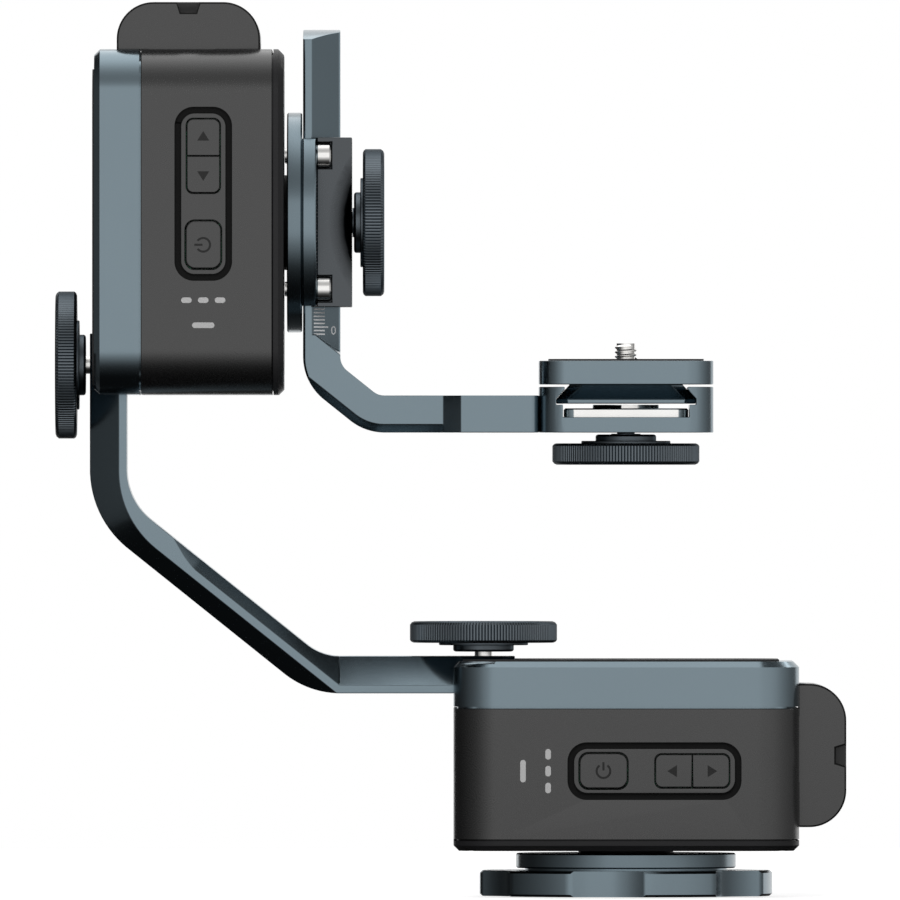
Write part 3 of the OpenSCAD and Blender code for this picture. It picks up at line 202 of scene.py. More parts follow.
class Finish:
    """One material: a Principled shader and the nodes that feed it"""

    def __init__(self, name, colour, roughness, metallic=0.0, **constants):
        self.material = bpy.data.materials.new(name)
        self.material.use_nodes = True
        self.material.diffuse_color = (*colour, 1)
        self.tree = self.material.node_tree
        self.shader = self.tree.nodes["Principled BSDF"]
        self.set("Base Color", (*colour, 1))
        self.set("Roughness", roughness)
        self.set("Metallic", metallic)
        for socket, value in constants.items():
            self.set(socket.replace("_", " "), value)
        self.colour = colour
        self.place = self.node("ShaderNodeTexCoord", {}, {}, "Object")
        FINISHES[name] = self

    def set(self, socket, value):
        if isinstance(value, Value):
            self.tree.links.new(value.socket, self.shader.inputs[socket])
        else:
            self.shader.inputs[socket].default_value = value

    def node(self, kind, settings, sockets, output=0):
        """Adds a node; a colour ramp's stops are given as (place, level) pairs"""
        made = self.tree.nodes.new(kind)
        for key, value in settings.items():
            if key == "stops":
                ramp = made.color_ramp.elements
                while len(ramp) < len(value):
                    ramp.new(1)
                for stop, (place, level) in zip(ramp, value):
                    stop.position = place
                    stop.color = (level, level, level, 1)
            else:
                setattr(made, key, value)
        for key, value in sockets.items():
            if isinstance(value, Value):
                self.tree.links.new(value.socket, made.inputs[key])
            else:
                made.inputs[key].default_value = value
        return Value(self, made.outputs[output])

    def noise(self, scale, detail=2.0, roughness=0.5, place=None):
        return self.node("ShaderNodeTexNoise", {}, {
            "Vector": place or self.place, "Scale": scale, "Detail": detail,
            "Roughness": roughness}, "Fac")

    def stretched(self, scale):
        return self.node("ShaderNodeMapping", {}, {"Vector": self.place, "Scale": scale})

    def tint(self, amount, low, high):
        """Base colour that moves between two brightnesses of the finish's colour"""
        mix = self.node("ShaderNodeMix", {"data_type": "RGBA"}, {
            MIX_FACTOR: amount,
            MIX_LOW: (*[c * low for c in self.colour], 1),
            MIX_HIGH: (*[min(1, c * high) for c in self.colour], 1)}, MIX_RESULT)
        self.set("Base Color", mix)

    def bump(self, height, distance, strength):
        self.set("Normal", self.node("ShaderNodeBump", {}, {
            "Height": height, "Distance": distance, "Strength": strength}))


def anodised(name, colour, roughness, grain=1.0, rim=1.0):
    """Bead-blasted and anodised aluminium: a fine even grain and faint clouds of tone

    rim below 1 dims what the metal reflects at a grazing angle.
    """
    f = Finish(name, colour, roughness, 1.0, Specular_Tint=(rim, rim, rim, 1))
    clouds = f.noise(scale=45, detail=3)
    fine = f.noise(scale=5200, roughness=0.6)
    f.tint(clouds * 0.6 + fine * 0.4, low=0.93, high=1.07)
    f.set("Roughness", roughness + (clouds - 0.5) * 0.06 + (fine - 0.5) * 0.1)
    f.bump(fine, distance=0.006 * MM * grain, strength=0.35)
    return f


def burnished(name, colour, roughness):
    """The same metal with painted shade, darker towards a scoop's deep end; the mesh holds each point's
    depth in mm
    """
    f = anodised(name, colour, roughness)
    depth = f.node("ShaderNodeAttribute", {"attribute_name": "depth"}, {}, "Fac")
    paleness = f.node("ShaderNodeMapRange", {"interpolation_type": "SMOOTHSTEP"}, {
        "Value": depth, "From Min": -0.6, "From Max": 2.6, "To Min": 1.0, "To Max": 0.0})
    f.tint(paleness, low=0.08, high=1)


def moulded(name, colour, roughness, grain, shine=0.5):
    """Moulded plastic or thick coating with a spark-eroded texture"""
    f = Finish(name, colour, roughness, Specular_IOR_Level=shine)
    pits = f.node("ShaderNodeTexVoronoi", {"feature": "SMOOTH_F1"}, {
        "Vector": f.place, "Scale": 2600.0, "Smoothness": 0.7}, "Distance")
    fine = f.noise(scale=4200, roughness=0.6)
    broad = f.noise(scale=30)
    f.tint(broad * 0.5 + fine * 0.5, low=0.94, high=1.06)
    f.set("Roughness", roughness + (fine - 0.5) * 0.1 + (broad - 0.5) * 0.04)
    f.bump(pits * 0.6 + fine * 0.4, distance=grain, strength=0.5)


def turned(name, colour, roughness):
    """Turned metal: fine tool rings seen as streaks across the piece"""
    f = Finish(name, colour, roughness, 1.0)
    streaks = f.noise(scale=1, roughness=0.6, place=f.stretched((900.0, 900.0, 5200.0)))
    broad = f.noise(scale=120)
    f.tint(streaks * 0.5 + broad * 0.5, low=0.9, high=1.08)
    f.set("Roughness", roughness + (streaks - 0.5) * 0.16)
    f.bump(streaks, distance=0.004 * MM, strength=0.3)


def rubber(name, colour):
    """Thin non-slip sheet with a fine diamond net"""
    f = Finish(name, colour, 0.78)
    net = f.node("ShaderNodeTexVoronoi", {"feature": "F1", "distance": "MANHATTAN"}, {
        "Vector": f.place, "Scale": 900.0, "Randomness": 0.0}, "Distance")
    dust = f.noise(scale=260, detail=4, roughness=0.65)
    f.tint(dust, low=0.75, high=1.35)
    f.set("Roughness", 0.7 + dust * 0.18)
    f.bump(net + dust * 0.3, distance=0.05 * MM, strength=0.4)


def printed(name, colour):
    """Thin ink with a little unevenness"""
    f = Finish(name, colour, 0.55)
    wear = f.noise(scale=2400, detail=3, roughness=0.6)
    f.tint(wear, low=0.86, high=1.1)
    f.set("Roughness", 0.48 + wear * 0.16)


def frosted(name, colour):
    """Frosted light window with a fine haze"""
    f = Finish(name, colour, 0.42, Coat_Weight=0.25, Coat_Roughness=0.3)
    haze = f.noise(scale=1500, detail=3, roughness=0.6)
    f.tint(haze, low=0.92, high=1.08)
    f.set("Roughness", 0.36 + haze * 0.14)
    f.bump(haze, distance=0.01 * MM, strength=0.3)


def circuit(name, colour):
    """Green board with tracks and pads"""
    f = Finish(name, colour, 0.4, Coat_Weight=0.4, Coat_Roughness=0.2)
    tracks = f.node("ShaderNodeTexBrick", {"offset": 0.5}, {
        "Vector": f.stretched((420.0, 420.0, 420.0)), "Scale": 1.0, "Mortar Size": 0.05}, "Fac")
    cells = f.node("ShaderNodeTexVoronoi", {}, {"Vector": f.place, "Scale": 240.0}, "Distance")
    pads = cells < 0.16
    f.tint(tracks * 0.7, low=0.8, high=1.9)
    f.set("Metallic", pads * 0.8)
    f.set("Roughness", 0.42 - pads * 0.12)
    f.bump(tracks, distance=0.03 * MM, strength=0.4)


def make_finishes(settings):
    """All finishes; the colours given here are of pieces inside the modules, rubber, ink and painted
    shade
    """
    # The rotors get the anodised colour darkened, as painted shade for their place in the narrow gaps at
    # the modules
    rotor_shade = 0.85
    anodised("grey_anodised", settings.anodised[:], roughness=0.2)
    anodised("rotor_metal_painted_shade", [rotor_shade * c for c in settings.anodised], roughness=0.2)
    anodised("jaw_metal", settings.jaw[:], roughness=0.26)
    # Painted shade in the jaw's scoop: the jaw colour darkened towards the scoop's deep end
    burnished("jaw_scoop_painted_shade", settings.jaw[:], roughness=0.26)
    anodised("knob_metal", settings.knob[:], roughness=0.3, grain=1.4, rim=0.3)
    anodised("bare_aluminium", (0.55, 0.56, 0.57), roughness=0.3)
    moulded("black_plastic", settings.shell[:], roughness=0.27, grain=0.012 * MM, shine=1.0)
    moulded("button_plastic", settings.shell[:], roughness=0.27, grain=0.006 * MM, shine=1.0)
    moulded("black_metal", settings.black_coat[:], roughness=0.42, grain=0.006 * MM, shine=0.25)
    moulded("icon_ink", (0.008, 0.008, 0.008), roughness=0.6, grain=0.004 * MM)
    # Black painted shade, for the groove round a button panel and a battery grip's rounded rim
    moulded("painted_shade_black", (0.004, 0.004, 0.004), roughness=0.62, grain=0.006 * MM, shine=0.2)
    moulded("notch_plastic", settings.shell[:], roughness=0.35, grain=0.012 * MM)
    turned("steel", settings.steel[:], roughness=0.16)
    turned("motor_can", (0.1, 0.105, 0.11), roughness=0.36)
    turned("brass", (0.6, 0.44, 0.18), roughness=0.3)
    rubber("rubber", (0.02, 0.02, 0.021))
    printed("scale_ink", settings.marks[:])
    frosted("light_lens", settings.lens[:])
    circuit("board", (0.02, 0.12, 0.06))


# Mesh building

def solid_copy(node):
    """The solid of a CAD node as one merged mesh with whole flat faces"""
    bm = bmesh.new()
    bm.from_mesh(frame["nodes"][node].data)
    bmesh.ops.remove_doubles(bm, verts=bm.verts, dist=MERGE)
    bmesh.ops.dissolve_limit(
        bm, angle_limit=SAME_PLANE, use_dissolve_boundaries=False, verts=bm.verts, edges=bm.edges,
        delimit=set())
    return bm


def round_edges(bm, radius, pick=None, segments=2):
    """Rounds the sharp edges, or those among them that pick() accepts"""
    sharp = [e for e in bm.edges if len(e.link_faces) == 2 and e.calc_face_angle(0) > SHARP_EDGE]
    bmesh.ops.bevel(
        bm, geom=[e for e in sharp if pick is None or pick(e)], offset=radius, offset_type="OFFSET",
        segments=segments, profile=0.5, affect="EDGES", clamp_overlap=False, material=-1)


def profile_line(bm, points):
    """Adds a line through (radius, height) points in mm, and returns its vertices and edges"""
    verts = [bm.verts.new((r * MM, 0, z * MM)) for r, z in points]
    return verts + [bm.edges.new(pair) for pair in zip(verts, verts[1:])]


def lathe(points, steps):
    """A closed turned shape about Z from (radius, height) points in mm that start and end on the axis"""
    bm = bmesh.new()
    bmesh.ops.spin(
        bm, geom=profile_line(bm, points), cent=(0, 0, 0), axis=(0, 0, 1), dvec=(0, 0, 0),
        angle=2 * pi, steps=steps, use_merge=True, use_duplicate=False)
    bmesh.ops.remove_doubles(bm, verts=bm.verts, dist=FINE_MERGE)
    bmesh.ops.recalc_face_normals(bm, faces=bm.faces)
    return bm


def block(bm, low, high):
    """Adds a box between two corners given in mm, and returns its vertices"""
    centre = [(a + b) / 2 * MM for a, b in zip(low, high)]
    size = [(b - a) * MM for a, b in zip(low, high)]
    place = Matrix.Translation(centre) @ Matrix.Diagonal((*size, 1))
    return bmesh.ops.create_cube(bm, size=1, matrix=place)["verts"]


def piece(name, bm, body, finish, replaces=(), sharp=30, place=None, even=True, paint=()):
    """Makes an object of a mesh, finishes it and lets it ride on a body

    paint holds further finishes, each with a function that picks its faces.
    """
    for index, (_, pick) in enumerate(paint, 1):
        for face in bm.faces:
            if pick(face):
                face.material_index = index
    if place is not None:
        bmesh.ops.transform(bm, matrix=place, verts=bm.verts)
    mesh = bpy.data.meshes.new(name)
    bm.to_mesh(mesh)
    bm.free()
    mesh.shade_smooth()
    mesh.set_sharp_from_angle(angle=radians(sharp))
    for name_of_finish in (finish, *[other for other, _ in paint]):
        mesh.materials.append(FINISHES[name_of_finish].material)
    made = bpy.data.objects.new(name, mesh)
    bpy.context.scene.collection.objects.link(made)
    if even:
        made.modifiers.new("Even normals", "WEIGHTED_NORMAL").keep_sharp = True
    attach(made, body)
    if replaces:
        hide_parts(*replaces)


def body_of_node(node):
    bodies = frame["record"]["behaviour"]["bodies"]
    return next(body for body, nodes in bodies.items() if node in nodes)


def dressed(node, finish, radius=None, pick=None, segments=2, paint=()):
    """A CAD node's own solid with smooth rounds, and its edges softened where a radius is given"""
    bm = solid_copy(node)
    if radius:
        round_edges(bm, radius, pick, segments)
    piece(node + "_dressed", bm, body_of_node(node), finish, (node,), paint=paint)


def kept(node, finish):
    """Gives a CAD node that stays in view its finish"""
    data = frame["nodes"][node].data
    data.materials.clear()
    data.materials.append(FINISHES[finish].material)


class HeadOperator:
    """What the operators share: each builds its pieces from the sizes in the settings"""

    bl_options = {"REGISTER", "UNDO"}

    def execute(self, context):
        self.build(context.scene.head_details)
        return {"FINISHED"}


# The pieces

class HEAD_OT_foot(HeadOperator, bpy.types.Operator):
    """Scalloped foot with its screws, and pan rotor with its shaft"""

    bl_idname = "pan_head.foot"
    bl_label = "Foot and pan rotor"

    def build(self, details):
        dressed("base_foot", "grey_anodised")
        # The pan rotor's finish is darkened as painted shade
        dressed("pan_rotor_disc", "rotor_metal_painted_shade")
        dressed("pan_output_shaft", "black_metal")
        dressed("base_screws", "steel")


# The groove round a button panel: its reach beside the panel, and the depth at which it starts
GROOVE_WIDTH = 2.5 * MM
GROOVE_START = 0.1 * MM

# The battery pack's small step beyond the wall, what is left of it, and the round of its grip's rim
PACK_STEP = 1 * MM
PACK_STEP_LEFT = 0.1 * MM
GRIP_ROUND = 0.5 * MM
GRIP_SEGMENTS = 3


class HEAD_OT_shells(HeadOperator, bpy.types.Operator):
    """Housings, covers, pads and batteries of the two drive modules"""

    bl_idname = "pan_head.shells"
    bl_label = "Drive module shells"

    def build(self, details):
        for side in ("pan", "tilt"):
            # The groove round the button panel is painted black as shade
            dressed(side + "_housing", "black_plastic", paint=[("painted_shade_black", self.in_groove(side))])
            dressed(side + "_bottom_cover", "black_metal")
            dressed(side + "_top_cover", "grey_anodised")
            dressed(side + "_top_pad", "rubber")
            self.battery(side)

    @staticmethod
    def in_groove(side):
        """Picks a housing's faces in the groove round its button panel"""
        low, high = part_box(side + "_button_panel")

        def pick(f):
            middle = f.calc_center_median()
            return (
                low.y + GROOVE_START < middle.y < high.y + GROOVE_START
                and low.x - GROOVE_WIDTH < middle.x < high.x + GROOVE_WIDTH
                and low.z - GROOVE_WIDTH < middle.z < high.z + GROOVE_WIDTH)
        return pick

    def battery(self, side):
        """Battery pack; its step behind the grip is drawn back into the wall, and the grip is rounded,
        with black painted shade on its rounded rim
        """
        node = side + "_battery"
        out = 0 if side == "pan" else 2
        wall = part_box(side + "_housing")[1][out]
        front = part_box(node)[1].y - PACK_STEP
        bm = solid_copy(node)
        for v in bm.verts:
            if abs(v.co[out] - wall - PACK_STEP) < TOUCH:
                v.co[out] = wall + PACK_STEP_LEFT
        bmesh.ops.remove_doubles(bm, verts=bm.verts, dist=MERGE)

        def on_rim(e):
            middle = (e.verts[0].co + e.verts[1].co) / 2
            level = sorted(abs(f.normal.y) for f in e.link_faces)
            return (
                level[0] < ALONG and level[1] > SQUARE_TO
                and abs(middle.y) > front - 0.1 * MM and middle[out] > wall + 0.3 * MM)

        # Faces of the rounded rim, which get black painted shade
        def on_round(f):
            return 0.2 < abs(f.normal.y) < 0.97

        def in_notch(f):
            middle = f.calc_center_median()
            return (
                abs(f.normal.y) > SQUARE_TO
                and abs(middle.y) < front - 1 * MM and middle[out] > wall + 5 * MM)

        round_edges(bm, GRIP_ROUND, on_rim, GRIP_SEGMENTS)
        piece(
            node + "_dressed", bm, body_of_node(node), "black_plastic", replaces=(node,),
            paint=[("painted_shade_black", on_round), ("notch_plastic", in_notch)])


# Rounds on the fronts of the buttons
POWER_ROUND = 0.45 * MM
ARROW_ROUND = 0.3 * MM
BUTTON_SEGMENTS = 3

# The power sign in mm: an open ring and a bar through its opening
RING_INNER = 1.6
RING_OUTER = 2.2
RING_START = radians(-55)
RING_SWEEP = radians(290)
RING_STEPS = 40
BAR_HALF_WIDTH = 0.3
BAR_LOW = 0.2
BAR_HIGH = 2.5

# The arrow sign: the circle that its corners lie on in mm, and how much its sides are pulled in
ARROW_RADIUS = 1.95
ARROW_WIDTH = 0.92


class HEAD_OT_controls(HeadOperator, bpy.types.Operator):
    """Button panels, buttons with their signs, and indicator lights"""

    bl_idname = "pan_head.controls"
    bl_label = "Controls"

    def build(self, details):
        for side, place, arrows in (
            ("pan", PAN_FRAME, ("left", "right")),
            ("tilt", TILT_FRAME, ("down", "up")),
        ):
            dressed(side + "_button_panel", "black_plastic", details.edge)
            dressed(side + "_indicator_lights", "light_lens")
            back = place.inverted()
            power = side + "_power_button"
            dressed(power, "button_plastic", POWER_ROUND, self.front_rim(power), BUTTON_SEGMENTS)
            self.power_sign(side, place, self.middle(power, back))
            for name, way in zip(arrows, (-1, 1)):
                node = "%s_%s_button" % (side, name)
                dressed(node, "button_plastic", ARROW_ROUND, self.front_rim(node), BUTTON_SEGMENTS)
                self.arrow_sign(node, place, self.middle(node, back), way)

    @staticmethod
    def front_rim(node):
        """Picks the edges round a button's front"""
        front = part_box(node)[0].y
        return lambda e: all(v.co.y < front + TOUCH for v in e.verts)

    @staticmethod
    def middle(node, back):
        """The middle of a button's front in its module's frame, in mm"""
        low, high = (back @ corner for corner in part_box(node))
        return (low.x + high.x) / 2 / MM, min(low.y, high.y) / MM, (low.z + high.z) / 2 / MM

    def power_sign(self, side, place, middle):
        bm = bmesh.new()
        section = (
            (RING_INNER, SIGN_FRONT), (RING_OUTER, SIGN_FRONT), (RING_OUTER, SIGN_BACK),
            (RING_INNER, SIGN_BACK))
        ring = [bm.verts.new((r * MM, y * MM, 0)) for r, y in section]
        edges = [bm.edges.new((ring[i - 1], ring[i])) for i in range(len(ring))]
        bmesh.ops.rotate(bm, cent=(0, 0, 0), matrix=Matrix.Rotation(RING_START, 3, "Y"), verts=ring)
        bmesh.ops.spin(
            bm, geom=ring + edges, cent=(0, 0, 0), axis=(0, 1, 0), dvec=(0, 0, 0),
            angle=RING_SWEEP, steps=RING_STEPS, use_merge=False, use_duplicate=False)
        bmesh.ops.holes_fill(bm, edges=bm.edges, sides=len(ring))
        block(
            bm, (-BAR_HALF_WIDTH, SIGN_FRONT, BAR_LOW), (BAR_HALF_WIDTH, SIGN_BACK, BAR_HIGH))
        bmesh.ops.recalc_face_normals(bm, faces=bm.faces)
        piece(
            side + "_power_sign", bm, side + "_power", "icon_ink", even=False,
            place=place @ Matrix.Translation([c * MM for c in middle]))

    def arrow_sign(self, node, place, middle, way):
        bm = bmesh.new()
        bmesh.ops.create_circle(
            bm, cap_ends=True, segments=3, radius=ARROW_RADIUS * MM,
            matrix=Matrix.Rotation(radians(-90 * way), 4, "Z"))
        bmesh.ops.scale(bm, vec=(ARROW_WIDTH, 1, 1), verts=bm.verts)
        raised = bmesh.ops.extrude_face_region(bm, geom=bm.faces[:])["geom"]
        bmesh.ops.translate(
            bm, vec=(0, 0, (SIGN_BACK - SIGN_FRONT) * MM),
            verts=[v for v in raised if isinstance(v, bmesh.types.BMVert)])
        bmesh.ops.rotate(
            bm, cent=(0, 0, 0), matrix=Matrix.Rotation(radians(90), 3, "X"), verts=bm.verts)
        bmesh.ops.recalc_face_normals(bm, faces=bm.faces)
        x, y, z = middle
        piece(
            node + "_sign", bm, body_of_node(node), "icon_ink", even=False,
            place=place @ Matrix.Translation((x * MM, (y + SIGN_BACK) * MM, z * MM)))


# The scale on the camera arm's bevel, in mm: the bevel starts at the lip and turns 45 degrees, so
# that a length seen from the front is SLANT times as long on it
RAIL_LIP = 2.4
RAIL_HALF_DEPTH = 16
SLANT = 1.414
SCALE_ZERO = 159.3
MARKS_BELOW_ZERO = 2
MARKS_PER_NUMBER = 10
MARK_START = 0.62
MARK_LENGTH = 3.05
LONG_MARK_LENGTH = 4
MARK_HALF_WIDTH = 0.2
NUMBERS = 5
NUMBER_SIZE = 3.4
NUMBER_START = 6.1
NUMBER_DROP = 1.05
NUMBER_STRETCH = 1.25
NUMBER_HALF_DEPTH = 0.02
NUMBER_FRONT = -0.01


class HEAD_OT_arms(HeadOperator, bpy.types.Operator):
    """Link arm and camera arm with its scale"""

    bl_idname = "pan_head.arms"
    bl_label = "Arms"

    def build(self, details):
        dressed("link_arm", "grey_anodised", details.edge)
        self.camera_arm(details)
        self.scale(details)

    def camera_arm(self, details):
        """Camera arm, with a larger round on the edges of its left side"""
        def on_left(e):
            flat, side = sorted(e.link_faces, key=lambda f: -abs(f.normal.y))
            return abs(flat.normal.y) > 0.9 and abs(side.normal.y) < 0.2 and side.normal.x < -0.55

        bm = solid_copy("camera_arm")
        round_edges(bm, 3 * details.edge, on_left, 4)
        round_edges(bm, details.edge)
        piece("camera_arm_dressed", bm, "camera_arm", "grey_anodised", replaces=("camera_arm",))

    def scale(self, details):
        lip_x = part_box("camera_arm")[0].x + RAIL_LIP * MM
        slope = (
            Matrix.Translation((lip_x, -RAIL_HALF_DEPTH * MM, 0)) @ Matrix.Rotation(radians(45), 4, "Z"))
        bm = bmesh.new()
        for k in range(-MARKS_BELOW_ZERO, details.mark_count - MARKS_BELOW_ZERO):
            length = MARK_LENGTH if k % MARKS_PER_NUMBER else LONG_MARK_LENGTH
            verts = block(
                bm, (MARK_START * SLANT, SIGN_FRONT, -MARK_HALF_WIDTH),
                ((MARK_START + length) * SLANT, SIGN_BACK, MARK_HALF_WIDTH))
            bmesh.ops.translate(bm, vec=(0, 0, SCALE_ZERO * MM + k * details.mark_pitch), verts=verts)
        piece(
            "rail_scale_marks", bm, "camera_arm", "scale_ink", even=False, place=slope)
        for number in range(NUMBERS):
            height = SCALE_ZERO * MM + (MARKS_PER_NUMBER * number - NUMBER_DROP) * MM
            self.number(number, height, slope)

    def number(self, number, z, slope):
        """A number of the scale, made as text and kept as a mesh"""
        curve = bpy.data.curves.new("rail_number", "FONT")
        curve.body = str(number)
        curve.size = NUMBER_SIZE * MM
        curve.extrude = NUMBER_HALF_DEPTH * MM
        curve.align_x = "CENTER"
        curve.align_y = "CENTER"
        sketch = bpy.data.objects.new("rail_number", curve)
        bpy.context.scene.collection.objects.link(sketch)
        depsgraph = bpy.context.evaluated_depsgraph_get()
        mesh = bpy.data.meshes.new_from_object(sketch.evaluated_get(depsgraph))
        bpy.data.objects.remove(sketch)
        bm = bmesh.new()
        bm.from_mesh(mesh)
        bpy.data.meshes.remove(mesh)
        bmesh.ops.remove_doubles(bm, verts=bm.verts, dist=FINE_MERGE)
        upright = (
            Matrix.Translation((NUMBER_START * SLANT * MM, NUMBER_FRONT * MM, z))
            @ Matrix.Rotation(radians(90), 4, "X")
            @ Matrix.Diagonal((NUMBER_STRETCH, 1, 1, 1)))
        piece(
            "rail_number_%d" % number, bm, "camera_arm", "scale_ink", even=False,
            place=slope @ upright)


# A knob's radii and heights in mm, and the turning steps for each of its ribs
KNOB_NECK = 4.1
KNOB_FLANGE = 8.5
KNOB_STEP = 12.5
KNOB_RIM = 20.6
RIM_HEIGHT = 6
STEP_HEIGHT = 0.7
FLANGE_HEIGHT = 1.8
DISH_DEPTH = 0.6
STEPS_PER_RIB = 4
RIB_SHARP = 22


class HEAD_OT_knobs(HeadOperator, bpy.types.Operator):
    """The four knobs with their ribbed rims"""

    bl_idname = "pan_head.knobs"
    bl_label = "Knobs"

    def build(self, details):
        for node, way in (
            ("pan_arm_knob", Vector((0, 0, 1))),
            ("tilt_arm_knob", Vector((-1, 0, 0))),
            ("clamp_knob", Vector((1, 0, 0))),
            ("qr_knob", Vector((0, 0, -1))),
        ):
            low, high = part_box(node)
            middle = (low + high) / 2
            height = abs((high - low).dot(way)) / MM
            foot = middle - way * height / 2 * MM
            place = Matrix.Translation(foot) @ way.to_track_quat("Z", "Y").to_matrix().to_4x4()
            piece(
                node + "_ribbed", self.knob(details, height), body_of_node(node), "knob_metal",
                replaces=(node,), place=place, even=False, sharp=RIB_SHARP)

    def knob(self, details, top):
        """A knob that stands on the origin, with every fourth line of its rim sunk as a groove"""
        under = top - RIM_HEIGHT
        step = under - STEP_HEIGHT
        flange = step - FLANGE_HEIGHT
        neck_part = [(0, 0), (KNOB_NECK, 0), (KNOB_NECK, flange)]
        flange_part = [
            (KNOB_FLANGE - 0.7, flange), (KNOB_FLANGE - 0.2, flange + 0.2), (KNOB_FLANGE, flange + 0.6),
            (KNOB_FLANGE, step)]
        step_part = [(KNOB_STEP - 0.2, step), (KNOB_STEP, step + 0.2), (KNOB_STEP, under)]
        rim_part = [
            (KNOB_RIM - 1, under), (KNOB_RIM - 0.4, under + 0.25), (KNOB_RIM, under + 0.75),
            (KNOB_RIM, top - 0.95), (KNOB_RIM - 0.5, top - 0.3), (KNOB_RIM - 1.2, top)]
        dish_part = [(16.7, top), (15.7, top - DISH_DEPTH), (8.3, top - DISH_DEPTH), (7.4, top)]
        middle_part = [(6.6, top), (6.2, top - 0.25), (0, top - 0.25)]
        steps = details.ribs * STEPS_PER_RIB
        bm = lathe(neck_part + flange_part + step_part + rim_part + dish_part + middle_part, steps)

        def in_groove(v):
            turn = round(atan2(v.co.y, v.co.x) / (2 * pi) * steps)
            return v.co.xy.length > (KNOB_RIM - 0.1) * MM and turn % STEPS_PER_RIB == 0

        shrink = 1 - details.rib_depth / (KNOB_RIM * MM)
        bmesh.ops.scale(bm, vec=(shrink, shrink, 1), verts=[v for v in bm.verts if in_groove(v)])
        return bm


class HEAD_OT_tilt_clamp(HeadOperator, bpy.types.Operator):
    """Tilt rotor with its shaft, side blocks, cap screws and clamp jaw"""

    bl_idname = "pan_head.tilt_clamp"
    bl_label = "Tilt rotor and clamp"

    def build(self, details):
        # The tilt rotor's finish is darkened as painted shade
        dressed("tilt_rotor_disc", "rotor_metal_painted_shade")
        dressed("tilt_output_shaft", "black_metal")
        dressed("clamp_side_blocks", "grey_anodised", details.edge)
        self.jaw(details)
        dressed("clamp_cap_screws", "steel")

    def jaw(self, details):
        """Clamp jaw; each point holds its depth behind the nearer face, for the painted shade in the
        scoop
        """
        def is_square(e):
            return all(max(map(abs, f.normal)) > SQUARE_TO for f in e.link_faces)

        def in_scoop(f):
            return f.normal.x > 0.1 and abs(f.normal.y) > 0.1

        bm = solid_copy("clamp_jaw")
        round_edges(bm, details.edge, is_square)
        low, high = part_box("clamp_jaw")
        depth = bm.verts.layers.float.new("depth")
        for v in bm.verts:
            v[depth] = min(v.co.y - low.y, high.y - v.co.y) / MM
        # The scoop's faces get painted shade that darkens with depth
        piece(
            "clamp_jaw_dressed", bm, "jaw", "jaw_metal", replaces=("clamp_jaw",),
            paint=[("jaw_scoop_painted_shade", in_scoop)])


class HEAD_OT_quick_release(HeadOperator, bpy.types.Operator):
    """Quick release clamp with its screws, lock pad, plate and rubber pad"""

    bl_idname = "pan_head.quick_release"
    bl_label = "Quick release"

    def build(self, details):
        dressed("qr_clamp_base", "grey_anodised", details.edge)
        dressed("qr_lock_pad", "steel")
        dressed("qr_plate", "grey_anodised", details.edge)
        dressed("qr_plate_pad", "rubber")
        dressed("qr_base_screws", "steel")


# The camera screw's quarter inch stud and its thread, in mm. Points further out than STUD_WALL are
# drawn in to the share STUD_CORE of their radius, which makes room for the thread's ridge
STUD_RADIUS = 3.175
STUD_LENGTH = 5
STUD_WALL = 3
STUD_CORE = 0.83
THREAD_PITCH = 1.27
THREAD_DEPTH = 0.62
THREAD_LENGTH = 4.9
THREAD_STEPS = 28

# The thread's ridge: half its foot as a share of the pitch, half its crest as a share of that, and
# how far the crest stays inside the stud's radius in mm
RIDGE_FOOT = 0.44
RIDGE_CREST = 0.15
RIDGE_INSET = 0.05


class HEAD_OT_screws(HeadOperator, bpy.types.Operator):
    """Camera screw with its thread, and the knobs' screws"""

    bl_idname = "pan_head.screws"
    bl_label = "Threaded screws"

    def build(self, details):
        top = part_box("camera_screw")[1].z
        bm = solid_copy("camera_screw")
        stud = [
            v for v in bm.verts
            if v.co.z > top - STUD_LENGTH * MM and v.co.xy.length > STUD_WALL * MM
        ]
        bmesh.ops.scale(bm, vec=(STUD_CORE, STUD_CORE, 1), verts=stud)
        self.thread(bm, top / MM - THREAD_LENGTH)
        piece("camera_screw_threaded", bm, "screw", "steel", replaces=("camera_screw",), even=False)
        for node in ("pan_arm_screw", "tilt_arm_screw"):
            dressed(node, "steel")
        for node in ("clamp_knob_screw", "qr_knob_screw"):
            dressed(node, "black_metal")

    def thread(self, bm, low):
        """Adds the thread's helical ridge about Z, from a height in mm"""
        half = THREAD_PITCH * RIDGE_FOOT
        root = STUD_RADIUS - THREAD_DEPTH
        crest = STUD_RADIUS - RIDGE_INSET
        section = profile_line(bm, [
            (root, low), (crest, low + half * (1 - RIDGE_CREST)), (crest, low + half * (1 + RIDGE_CREST)),
            (root, low + 2 * half)])
        count = int((THREAD_LENGTH / THREAD_PITCH - 1) * THREAD_STEPS)
        bmesh.ops.spin(
            bm, geom=section, cent=(0, 0, 0), axis=(0, 0, 1),
            dvec=(0, 0, THREAD_PITCH / THREAD_STEPS * MM), angle=2 * pi * count / THREAD_STEPS,
            steps=count, use_merge=False, use_duplicate=False)


class HEAD_OT_drive_train(HeadOperator, bpy.types.Operator):
    """Finishes of the motors, gears, bearings, boards and screws inside the modules"""

    bl_idname = "pan_head.drive_train"
    bl_label = "Drive train"

    def build(self, details):
        for side in ("pan", "tilt"):
            for part, finish in (
                ("output_gear", "brass"),
                ("motor_pinion", "brass"),
                ("bearing", "steel"),
                ("motor", "motor_can"),
                ("motor_plate", "bare_aluminium"),
                ("control_board", "board"),
                ("cover_screws", "steel"),
            ):
                kept("%s_%s" % (side, part), finish)


